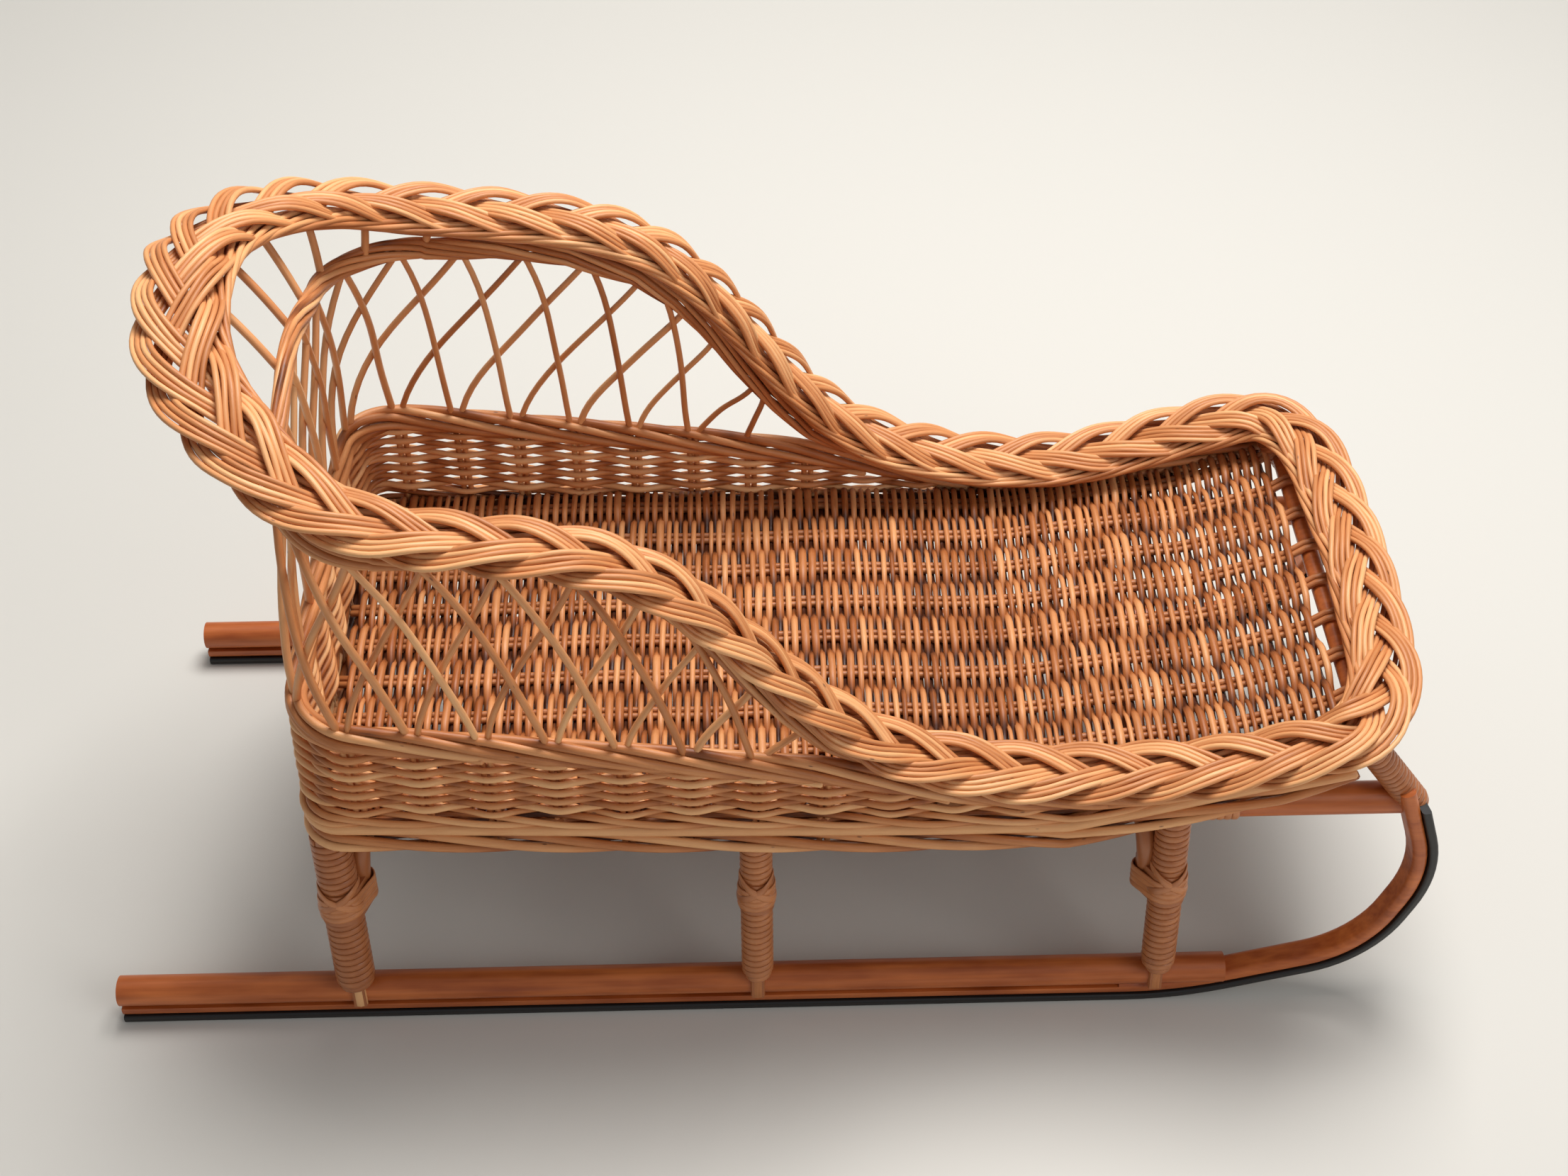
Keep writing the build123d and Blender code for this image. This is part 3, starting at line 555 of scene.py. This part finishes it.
class SLED_OT_rim(Operator):
    """Plait the rim from five flat strands of willow rods, with a roll of rods under its inner edge"""

    bl_idname = "sled.rim"
    bl_label = "Rim"

    def execute(self, context):
        """A strand swings across the rim as the sine of its phase, and crosses over and under as minus the
        sine of twice its phase. Its rods lie side by side in a ribbon that leans with the swing."""
        sizes = context.scene.sled_sizes
        rods, rod, steps_a_turn = sizes.rim_rods, sizes.rim_rod / MM, 44
        count = sizes.rim_turns * steps_a_turn
        line, _ = rim_line(count)
        out, up = rim_directions(line)
        spread = np.interp(line[:, 0], PLAIT_SPREAD[:, 0], PLAIT_SPREAD[:, 1])
        strands = [name for name in NODES if name.startswith("rim_strand_")]
        for number, strand_name in enumerate(strands):
            phase = 2 * np.pi * (np.arange(count) / steps_a_turn + number / len(strands))
            swing = sizes.rim_swing / MM * spread * np.sin(phase)
            lift = -sizes.rim_lift / MM * np.sin(2 * phase)
            strand = line + out * swing[:, None] + up * lift[:, None]
            lean = np.radians(16) * np.sin(phase)
            crown = up * np.cos(lean)[:, None] + out * np.sin(lean)[:, None]
            tangent = unit(np.roll(strand, -1, axis=0) - np.roll(strand, 1, axis=0))
            across = unit(np.cross(crown, tangent))
            place = (np.arange(rods) - (rods - 1) / 2)[:, None] * (rod * 0.97)
            seed = 10 + number * 3
            slide = place + 0.5 * wobble(seed, (rods,), count, 20, 60)
            rise = 0.5 * wobble(seed + 1, (rods,), count, 15, 50)
            paths = strand + slide[..., None] * across + rise[..., None] * crown
            radius = rod / 2 * (1 + 0.1 * wobble(seed + 2, (rods,), count, 3, 20))
            # painted shade: rods darker where the strand dips under the crossing strands, away from the rim's
            # edges
            under = 0.5 * np.minimum(-np.sin(2 * phase), 0) * (np.abs(np.sin(phase)) < 0.9)
            tones = np.random.default_rng(seed).uniform(0.1, 0.95, (rods, 1)) + under
            group = tubes(paths, crown, radius, closed=True, tones=tones, seed=seed)
            make_piece(context, f"rim_ribbon_{number + 1}", [group], "buff_willow", strand_name)
        inner_roll(context, line, out, up, spread)
        return {"FINISHED"}


def rope(centre, out, up, half_depth, half_height, rods, pitch, length, diameter, seed, outward_only=False):
    """Rods twisted round a flat core: each lies on an ellipse about the middle line, turned once a pitch, and
    has painted shade where it turns under the others, darkest on its inner side when outward_only."""
    share = np.linspace(0, 1, centre.shape[0])
    phase = 2 * np.pi * (share * length / pitch + np.arange(rods)[:, None] / rods)
    random = np.random.default_rng(seed)
    paths = (centre + (half_depth * np.cos(phase))[..., None] * out
             + (half_height * np.sin(phase) + random.uniform(-0.5, 0.5, (rods, 1)))[..., None] * up)
    thickness = diameter / 2 * random.uniform(0.88, 1.08, (rods, 1))
    # painted shade where a rod turns under the others; with outward_only, on the inner face too
    facing = np.cos(phase) if outward_only else np.abs(np.cos(phase))
    tones = random.uniform(0.0, 0.9, (rods, 1)) + 0.6 * (np.clip(facing * 1.4, -1, 1) - 1)
    return tubes(paths, out[None], thickness, tones=tones, seed=seed)


class SLED_OT_upper_band(Operator):
    """Twist the upper band round the stakes"""

    bl_idname = "sled.upper_band"
    bl_label = "Upper band"

    def execute(self, context):
        sizes = context.scene.sled_sizes
        centre = band_point(np.linspace(-BAND_END, BAND_END, 420))
        out, up = edge_directions(centre)
        pitch, rod = 6 * sizes.stake_pitch / MM, sizes.lattice_rod / MM * 0.9
        group = rope(centre, out, up, half_depth=3.6, half_height=6.6, rods=8, pitch=pitch,
                     length=2 * BAND_END, diameter=rod, seed=41)
        make_piece(context, "upper_band_wale", [group], "buff_willow", "upper_band")
        return {"FINISHED"}


def lattice_ends(pitch, lean):
    """Distances of the rods' feet and tops, and their rise. A rod moves along the wall by its lean times
    its rise, which depends on where its top is, so the top is found by repeating that."""
    feet = stake_places(pitch)
    tops = feet
    for _ in range(12):
        rise = band_point(tops)[:, 2] - read(WALL_TOP, wall_plan(feet)[0])
        tops = feet + lean * rise
    return feet, tops, band_point(tops)[:, 2] - read(WALL_TOP, wall_plan(feet)[0])


class SLED_OT_lattice(Operator):
    """Set the crossing rods between the low wall and the upper band"""

    bl_idname = "sled.lattice"
    bl_label = "Lattice"

    def execute(self, context):
        """A rod leaves the wall almost upright and leans more as it rises, as a power of its share of the
        height. The outer layer bows out and the inner one in, by a sine of the share."""
        sizes = context.scene.sled_sizes
        pitch, rod = sizes.stake_pitch / MM, sizes.lattice_rod / MM
        least_rise, beside_stake, foot_depth = 20, 2.9, 9
        share = np.linspace(0, 1, 16)
        blend = share * share * (3 - 2 * share)
        bulge = np.sin(np.pi * np.clip(share * 1.04 - 0.02, 0, 1))
        for name, side, lean in LATTICE_LAYERS:
            feet, tops, rise = lattice_ends(pitch, lean)
            kept = (rise > least_rise) & (np.abs(tops) < LATTICE_END)
            feet, tops = feet[kept] + side * beside_stake, tops[kept]
            distance = feet[:, None] + (tops - feet)[:, None] * share**1.35
            bow = side * (rod / 2 + 0.2) * bulge
            wall_x, wall_y = wall_plan(distance, bow)
            band = band_point(distance, bow)
            low = read(WALL_TOP, wall_plan(feet)[0])[:, None] - foot_depth
            high = band_point(tops)[:, 2][:, None]
            x = wall_x * (1 - blend) + band[..., 0] * blend
            y = wall_y * (1 - blend) + band[..., 1] * blend
            paths = np.stack([x, y, low + (high - low) * share], axis=-1)
            bends = [wobble(50 + side + i, (len(feet),), len(share), 1, 3) for i in range(3)]
            paths += 0.7 * np.stack(bends, axis=-1)
            radius = rod / 2 * np.random.default_rng(60 + side).uniform(0.9, 1.12, (len(feet), 1))
            group = tubes(paths, (1, 0.35, 0), radius * (1.06 - 0.12 * share), seed=70 + side)
            make_piece(context, f"lattice_rods_{name}", [group], "buff_willow", f"lattice_{name}")
        return {"FINISHED"}


class SLED_OT_flare_stakes(Operator):
    """Set the stakes that flare from the back of the upper band to the rim"""

    bl_idname = "sled.flare_stakes"
    bl_label = "Flare stakes"

    def execute(self, context):
        """The stakes' tops lie farther apart than their feet and a little farther round. They bow inwards."""
        stakes, pitch, stretch, shift, bow = 10, 43.0, 1.124, 22.0, 3.0
        distance = (np.arange(stakes) - (stakes - 1) / 2) * pitch
        line, length = rim_line(2200)
        out, up = rim_directions(line)
        place = np.round(-(distance * stretch + shift) / length * len(line)).astype(int)
        foot = band_point(distance) - (0, 0, 5)
        top = line[place] - up[place]
        share = np.linspace(0, 1, 9)[None, :, None]
        paths = foot[:, None] * (1 - share) + top[:, None] * share
        paths = paths - out[place][:, None] * bow * np.sin(np.pi * share)
        group = tubes(paths, (0, 1, 0), context.scene.sled_sizes.lattice_rod / MM * 0.57, seed=80)
        make_piece(context, "flared_stakes", [group], "buff_willow", "flare_stakes")
        return {"FINISHED"}


def wall_rows(sizes, pitch):
    """A row passes outside one pair of stakes and inside the next, as the cosine of its distance over the
    stakes' pitch. Rows lie one above the other from the foot and end where the top edge comes down."""
    foot_height, wale_height, swing, sharpness = 37.0, 23.0, 4.7, 0.13
    row = sizes.wall_row / MM
    ahead = np.linspace(0, WALL_END, 500)
    x, _ = wall_plan(ahead)
    clear = read(WALL_TOP, x) - read(WALL_BOTTOM, x) - foot_height - wale_height
    rows = np.arange(int(clear.max() / row) + 1)
    reach = np.array([ahead[clear > k * row].max() for k in rows])
    share = np.linspace(-1, 1, 420)
    distance = reach[:, None] * share
    turn = np.pi * (distance / pitch + rows[:, None])
    outward = swing * (np.cos(turn) + sharpness * np.cos(3 * turn)) / (1 + sharpness)
    x, y = wall_plan(distance, outward, corner_at((rows[:, None] + 1) / (len(rows) + 1)))
    wave = 0.7 * wobble(90, (len(rows),), len(share), 8, 24)
    height = read(WALL_BOTTOM, x) + foot_height + (rows[:, None] + 0.5) * row + wave
    radius = sizes.wall_weaver / MM / 2 * np.random.default_rng(91).uniform(0.85, 1.12, (len(rows), 1))
    # tone: random for each row, its pale top end partly painted highlight; plus painted shade where a row
    # crosses the wall's middle between pairs of stakes
    tones = np.random.default_rng(95).uniform(0.1, 1.5, (len(rows), 1)) + 0.7 * (np.abs(np.cos(turn)) - 1)
    return tubes(np.stack([x, y, height], axis=-1), (0, 0, 1), radius, sides=7, tones=tones, seed=92)


def wall_stakes(pitch):
    """Pairs of upright rods between the wall's edges."""
    half_gap, edge_gap, radius = 2.7, 4, 2.3
    pairs = stake_places(pitch)
    feet = np.concatenate([pairs - half_gap, pairs + half_gap])
    feet = feet[np.abs(feet) < WALL_END - 6]
    share = np.linspace(0, 1, 6)[None]
    x, y = wall_plan(feet[:, None], 0.0, corner_at(share))
    low, high = read(WALL_BOTTOM, x) + edge_gap, read(WALL_TOP, x) - edge_gap
    paths = np.stack([x, y, low + (high - low) * share], axis=-1)
    return tubes(paths, (1, 0, 0), radius, sides=7, seed=93)


class SLED_OT_wall(Operator):
    """Weave the low wall round its stakes and twist the heavy rods along its top edge"""

    bl_idname = "sled.wall"
    bl_label = "Low wall"

    def execute(self, context):
        sizes = context.scene.sled_sizes
        pitch = sizes.stake_pitch / MM
        x, y = wall_plan(np.linspace(-WALL_END, WALL_END, 420))
        top = np.stack([x, y, read(WALL_TOP, x) - 11.5], axis=-1)
        out, up = edge_directions(top)
        wale = rope(top, out, up, half_depth=4.6, half_height=8.8, rods=6, pitch=7 * pitch,
                    length=2 * WALL_END, diameter=sizes.wale_rod / MM, seed=94)
        groups = [wall_rows(sizes, pitch), wall_stakes(pitch), wale]
        make_piece(context, "low_wall_weave", groups, "buff_willow", "basket_wall")
        return {"FINISHED"}


class SLED_OT_foot(Operator):
    """Lay the heavy rods of the wall's foot: a twist of four, one thick rod and a twist of three"""

    bl_idname = "sled.foot"
    bl_label = "Foot"

    def execute(self, context):
        sizes = context.scene.sled_sizes
        wale, pitch, length = sizes.wale_rod / MM, 4 * sizes.stake_pitch / MM, 2 * WALL_END
        x, y = wall_plan(np.linspace(-WALL_END, WALL_END, 420), 2.0, FOOT_CORNER)
        low = np.stack([x, y, read(WALL_BOTTOM, x) + 9], axis=-1)
        out, up = edge_directions(low)
        thick = low + (0, 0, 13.6) + out * 1.2
        second = low + (0, 0, 23.6) + out * 0.8
        groups = [
            rope(low, out, up, half_depth=4.6, half_height=7.0, rods=4, pitch=1.6 * pitch, length=length,
                 diameter=wale, seed=100, outward_only=True),
            tubes(thick[None], out[None], 4.9, seed=101, tones=[0.85]),
            rope(second, out, up, half_depth=4.0, half_height=4.0, rods=3, pitch=pitch, length=length,
                 diameter=wale * 0.76, seed=102, outward_only=True),
        ]
        make_piece(context, "foot_rods", groups, "buff_willow", "basket_foot")
        return {"FINISHED"}


# How far the warps lie below the seat's top
WARP_DEPTH = 7.0


def seat_weavers(sizes, pitch):
    """Each weaver runs across the seat over one pair of warps and under the next, as the cosine of its
    place over the warps' pitch, and the next weaver does the opposite. Also returned are the weavers'
    places along the seat and how far the warps drift sideways there."""
    swing, flatness, side_gap = 4.4, 0.15, 5.0
    random = np.random.default_rng(110)
    thickness = np.clip(random.normal(sizes.weaver / MM, 0.95, 260), 3.2, 6.9)
    spacing = sizes.weaver_pitch / MM * (0.3 + 0.7 * thickness / thickness.mean())
    places = WALL_REAR + 6 + np.cumsum((spacing + np.roll(spacing, 1)) / 2)
    kept = places < SEAT_TOP[-1, 0] - 4
    places, thickness = places[kept], thickness[kept]
    share = np.linspace(-1, 1, 55)
    half = WALL_HALF_WIDTH - side_gap
    corner = np.clip(WALL_REAR + WALL_CORNER - places, 0, WALL_CORNER)
    reach = half - WALL_CORNER + np.sqrt(WALL_CORNER**2 - corner**2)
    y = share * half * (reach / half)[:, None]
    drift = 2.2 * wobble(111, (1,), len(places), 2, 7)[0]
    turn = np.pi * ((y - drift[:, None]) / pitch + np.arange(len(places))[:, None])
    crown = (np.cos(turn) - flatness * np.cos(3 * turn)) / (1 - flatness)
    height = read(SEAT_TOP, places)[:, None] - WARP_DEPTH + swing * crown
    x = places[:, None] + 0.7 * wobble(112, (len(places),), len(share), 1, 4)
    radius = thickness[:, None] / 2 * (0.96 + 0.04 * np.abs(crown))
    # tone: random for each weaver over a darker range than the rim's, partly darker rods and partly painted
    # shade of the basket; plus painted shade where a weaver dives under the warps
    tones = random.uniform(-0.3, 0.65, (len(places), 1)) + 0.5 * (crown - 1)
    paths = np.stack([x, y, height], axis=-1)
    return tubes(paths, (1, 0, 0), radius, sides=6, tones=tones, seed=113), places, drift


def seat_warps(pitch, places, drift):
    """Pairs of rods along the seat, which end in a turn over the front stick."""
    half_gap, radius = 2.8, 2.5
    # columns: ahead of the stick's middle, above its top
    over_stick = np.array([(-5, 1.0), (0, 2.6), (7, 2.2), (16, 4.0)])
    pairs = np.arange(-4, 5) * pitch
    offsets = np.concatenate([pairs - half_gap, pairs + half_gap])
    low, high = node_box("seat_stick")
    flat = np.linspace(WALL_REAR + 4, SEAT_TOP[-1, 0] - 10, 40)
    x = np.concatenate([flat, (low[0] + high[0]) / 2 + over_stick[:, 0]])
    height = np.concatenate([read(SEAT_TOP, flat) - WARP_DEPTH, high[2] + over_stick[:, 1]])
    aside = offsets[:, None] + np.interp(x, places, drift)
    paths = np.stack(np.broadcast_arrays(x, aside, height), axis=-1)
    return tubes(paths, (0, 1, 0), radius, tones=np.zeros(len(offsets)), seed=114)


class SLED_OT_seat(Operator):
    """Weave the seat across its paired warps"""

    bl_idname = "sled.seat"
    bl_label = "Seat"

    def execute(self, context):
        pitch = context.scene.sled_sizes.warp_pitch / MM
        weavers, places, drift = seat_weavers(context.scene.sled_sizes, pitch)
        groups = [weavers, seat_warps(pitch, places, drift)]
        make_piece(context, "seat_weavers", groups, "buff_willow", "seat_weave")
        finish_nodes(context, "stained_wood", "seat_stick")
        return {"FINISHED"}


def winding(start, end, radius, pitch, width, thickness, seed):
    """Skein wound round a straight rod. Its middle line is a helix about the axis."""
    start, end = np.asarray(start, float), np.asarray(end, float)
    axis = unit(end - start)
    length = np.linalg.norm(end - start)
    first = unit(np.cross(axis, (0.0, 0.0, 1.0)))
    second = np.cross(axis, first)
    turns = length / pitch
    share = np.linspace(0, 1, int(turns * 18) + 2)
    turn = 2 * np.pi * turns * share
    path = (start + axis * (share * length)[:, None] + first * (radius * np.cos(turn))[:, None]
            + second * (radius * np.sin(turn))[:, None])
    return tubes(path[None], axis, thickness / 2, width / 2, seed=seed)


def post_frame(side, foot_x, top_x):
    """A post's axis as a function of the height, its direction, and forward and inward square to it."""
    def axis_point(height):
        rise = np.asarray(height, float) - POLE_HEIGHT
        x = foot_x + (top_x - foot_x) * rise / (RAIL_HEIGHT - POLE_HEIGHT)
        return np.stack([x, side * (POLE_OFFSET - POST_LEAN * rise), np.asarray(height, float)], axis=-1)
    axis = unit(axis_point(100.0) - axis_point(50.0))
    inward = unit(np.cross(axis, (1.0, 0.0, 0.0)) * -side)
    return axis_point, axis, unit(np.array([1.0, 0.0, 0.0]) - axis[0] * axis), inward


def binding(around, post_radius, leg, height, turn, seed, width, thickness):
    """Flat skein laid round a post and the leg beside it: in each direction it touches whichever of the two
    circles reaches farther. A leg is its place forward and inward, and its radius."""
    axis_point, axis, forward, inward = around
    ahead, aside, leg_radius = leg
    on_leg = (ahead * np.cos(turn) + aside * np.sin(turn) + leg_radius > post_radius)[:, None]
    heading = np.cos(turn)[:, None] * forward + np.sin(turn)[:, None] * inward
    around_leg = ahead * forward + aside * inward + heading * leg_radius
    around_post = heading * np.broadcast_to(post_radius, turn.shape)[:, None]
    path = axis_point(height) + np.where(on_leg, around_leg, around_post)
    return tubes(path[None], axis, thickness / 2, width / 2, seed=seed)


def post_winding(around, radius, number, width, thick):
    """A helix about the post's axis that starts small at its rounded lower end."""
    low, high, overlap, into_core = 40.5, 172.0, 0.95, 0.45
    axis_point, axis, ahead, inner = around
    turns = (high - low) / (width * overlap)
    share = np.linspace(0, 1, int(turns * 20))
    reach = (radius + into_core) * np.interp(share, [0, 0.02, 0.05, 0.075], [0.58, 0.82, 0.96, 1.0])
    turn = 2 * np.pi * turns * share + number
    path = (axis_point(low + (high - low) * share) + ahead * (reach * np.cos(turn))[:, None]
            + inner * (reach * np.sin(turn))[:, None])
    return tubes(path[None], axis, thick / 2, width / 2, seed=120 + number)


def collar(around, radius, leg_place, width, thick):
    """Four level turns round post and leg together, and two tilted ones that cross in front."""
    level_turns, level_low, level_height, first_turn, cover = 4, -9.5, 17, 1.2, 2.6
    tilt_height, tilt_middle = 9.0, 6.0
    share = np.linspace(0, 1, 150)
    groups = [binding(around, radius + cover, (*leg_place, LEG_RADIUS + cover),
                      COLLAR_HEIGHT + level_low + level_height * share,
                      2 * np.pi * level_turns * share + first_turn, 125, width, thick)]
    turn = 2 * np.pi * np.linspace(0, 1, 60)
    for tilt in (-1, 1):
        height = COLLAR_HEIGHT + tilt_middle + tilt * tilt_height * np.cos(turn)
        reach = radius + np.interp(height, [126, 131], [3.1, 1.3])
        groups.append(binding(around, reach, (0, 0, 0), height, turn, 126 + tilt, width * 1.15, thick))
    return groups


def peg(around, pale):
    """The flat peg under a post, nailed to the pole."""
    axis_point, _, ahead, _ = around
    path = axis_point(np.linspace(21.5, 39.0, 4))
    return tubes(path[None], ahead, 3.2, 5.2, seed=129, tones=[1.6 if pale else 0.1])


class SLED_OT_posts(Operator):
    """Wind the posts with skein, bind the arches to them and set their pegs"""

    bl_idname = "sled.posts"
    bl_label = "Posts"

    def execute(self, context):
        sizes = context.scene.sled_sizes
        width, thick = sizes.skein_width / MM, sizes.skein_thickness / MM
        for side_name, side in SIDES.items():
            for number, (name, foot_x, top_x, radius, *leg_place) in enumerate(POSTS):
                place = f"{name}_{side_name}"
                around = post_frame(side, foot_x, top_x)
                groups = [post_winding(around, radius, number, width, thick),
                          *collar(around, radius, leg_place, width, thick)]
                make_piece(context, f"post_winding_{place}", groups, "willow_skein")
                finish_nodes(context, "willow_skein", f"post_{place}", f"collar_{place}")
                make_piece(context, f"post_peg_{place}", [peg(around, name == "rear")], "buff_willow")
        for name, *_ in POSTS:
            finish_nodes(context, "willow_skein", f"arch_{name}")
        return {"FINISHED"}


class SLED_OT_horns(Operator):
    """Wind the horns and the rails' lashings with skein"""

    bl_idname = "sled.horns"
    bl_label = "Horns and lashings"

    def execute(self, context):
        sizes = context.scene.sled_sizes
        width, thick = sizes.skein_width / MM, sizes.skein_thickness / MM
        pitch, horn_radius, lashing_radius = width * 0.94, 10.1, 13.0
        for side_name, side in SIDES.items():
            y = side * (RAIL_OFFSET + 3)
            start, end = (455.0, y, RAIL_HEIGHT - 1), (400.5, y, RAIL_HEIGHT + 74)
            group = winding(start, end, horn_radius, pitch, width, thick, 130)
            make_piece(context, f"horn_winding_{side_name}", [group], "willow_skein")
            low, high = node_box(f"rail_lashing_{side_name}")
            y = (low[1] + high[1]) / 2
            start, end = (low[0], y, RAIL_HEIGHT), (high[0], y, RAIL_HEIGHT)
            group = winding(start, end, lashing_radius, pitch, width, thick, 131)
            make_piece(context, f"rail_winding_{side_name}", [group], "willow_skein",
                       f"rail_lashing_{side_name}")
            finish_nodes(context, "willow_skein", f"horn_{side_name}")
        return {"FINISHED"}


class SLED_OT_runners(Operator):
    """Finish the poles, strips, rails and soles"""

    bl_idname = "sled.runners"
    bl_label = "Runners"

    def execute(self, context):
        for side in SIDES:
            names = f"runner_pole_{side}", f"runner_strip_{side}", f"rail_{side}"
            finish_nodes(context, "stained_wood", *names)
            finish_nodes(context, "sole_rubber", f"sole_{side}")
        return {"FINISHED"}


def add_floor(context):
    """A level floor that curves up into a backdrop: a straight, a quarter circle and a straight."""
    near_end, curve_start, radius, top, half_width = -6.0, 2.2, 0.8, 5.0, 7.0
    turn = np.linspace(0, np.pi / 2, 16)
    depth = [near_end, *(curve_start + radius * np.sin(turn)), curve_start + radius]
    height = [0.0, *(radius - radius * np.cos(turn)), top]
    grid = [(x, y, z) for y, z in zip(depth, height) for x in (-half_width, half_width)]
    faces = [(i, i + 1, i + 3, i + 2) for i in range(0, len(grid) - 2, 2)]
    mesh = bpy.data.meshes.new("floor")
    mesh.from_pydata(grid, [], faces)
    mesh.polygons.foreach_set("use_smooth", np.ones(len(faces), bool))
    material, _, shader = new_material("matt_pale_floor")
    shader.inputs["Base Color"].default_value = rgba(context.scene.sled_colours.floor)
    shader.inputs["Roughness"].default_value = 0.9
    shader.inputs["Specular IOR Level"].default_value = 0.1
    mesh.materials.append(material)
    floor = bpy.data.objects.new("floor", mesh)
    context.scene.collection.objects.link(floor)


def add_lamps(context):
    """A soft lamp above and a little behind, a weaker one from the front right, and a pale sky."""
    target = Vector((0, 0, 0.2))
    for name, place, width, power in LAMPS:
        lamp = bpy.data.lights.new(name, "AREA")
        lamp.energy = power
        lamp.size = width
        holder = bpy.data.objects.new(name, lamp)
        holder.location = place
        holder.rotation_euler = (target - Vector(place)).to_track_quat("-Z", "Y").to_euler()
        context.scene.collection.objects.link(holder)
    world = bpy.data.worlds.new("sky")
    world.use_nodes = True
    sky = world.node_tree.nodes["Background"]
    sky.inputs["Color"].default_value = (0.93, 0.96, 1.0, 1)
    sky.inputs["Strength"].default_value = 0.3
    context.scene.world = world


def add_camera(context):
    """The camera stands in front of the sled's right side and looks down at it."""
    focal_pixels, image_width, sensor = 2789.83, 2212, 36.0
    place = Vector((-0.0131, -1.0066, 1.2714))
    down, aside, roll = np.radians((45.31, 1.71, 0.18))
    ahead = Vector((np.sin(aside) * np.cos(down), np.cos(aside) * np.cos(down), -np.sin(down)))
    right = Vector((np.cos(aside), -np.sin(aside), 0))
    above = right.cross(ahead)
    right, above = right * np.cos(roll) + above * np.sin(roll), above * np.cos(roll) - right * np.sin(roll)
    lens = bpy.data.cameras.new("photo_camera")
    lens.sensor_fit = "HORIZONTAL"
    lens.sensor_width = sensor
    lens.lens = focal_pixels / image_width * sensor
    camera = bpy.data.objects.new("photo_camera", lens)
    axes = Matrix((right, above, -ahead)).transposed()
    camera.matrix_world = Matrix.Translation(place) @ axes.to_4x4()
    context.scene.collection.objects.link(camera)
    context.scene.camera = camera


class SLED_OT_stage(Operator):
    """Lay the pale floor, hang the lamps and place the camera"""

    bl_idname = "sled.stage"
    bl_label = "Stage"

    def execute(self, context):
        scene = context.scene
        scene.view_settings.view_transform = "Standard"
        add_floor(context)
        add_lamps(context)
        add_camera(context)
        return {"FINISHED"}


PIECES = (SLED_OT_rim, SLED_OT_upper_band, SLED_OT_lattice, SLED_OT_flare_stakes, SLED_OT_wall, SLED_OT_foot,
          SLED_OT_seat, SLED_OT_posts, SLED_OT_horns, SLED_OT_runners, SLED_OT_stage)


class SLED_PT_panel(Panel):
    """Sizes, colours and pieces of the sled"""

    bl_idname = "SLED_PT_panel"
    bl_label = "Wicker sled"
    bl_space_type = "VIEW_3D"
    bl_region_type = "UI"
    bl_category = "Sled"

    def draw(self, context):
        for group in (context.scene.sled_sizes, context.scene.sled_colours):
            column = self.layout.column()
            for name in group.bl_rna.properties.keys():
                if name not in ("rna_type", "name"):
                    column.prop(group, name)
        for piece in PIECES:
            self.layout.operator(piece.bl_idname)


CLASSES = (SledSizes, SledColours, *PIECES, SLED_PT_panel)


def register():
    for entry in CLASSES:
        bpy.utils.register_class(entry)
    bpy.types.Scene.sled_sizes = PointerProperty(type=SledSizes)
    bpy.types.Scene.sled_colours = PointerProperty(type=SledColours)


def unregister():
    del bpy.types.Scene.sled_colours
    del bpy.types.Scene.sled_sizes
    for entry in reversed(CLASSES):
        bpy.utils.unregister_class(entry)


def main():
    register()
    for piece in PIECES:
        group, name = piece.bl_idname.split(".")
        getattr(getattr(bpy.ops, group), name)()


if __name__ == "__main__":
    main()
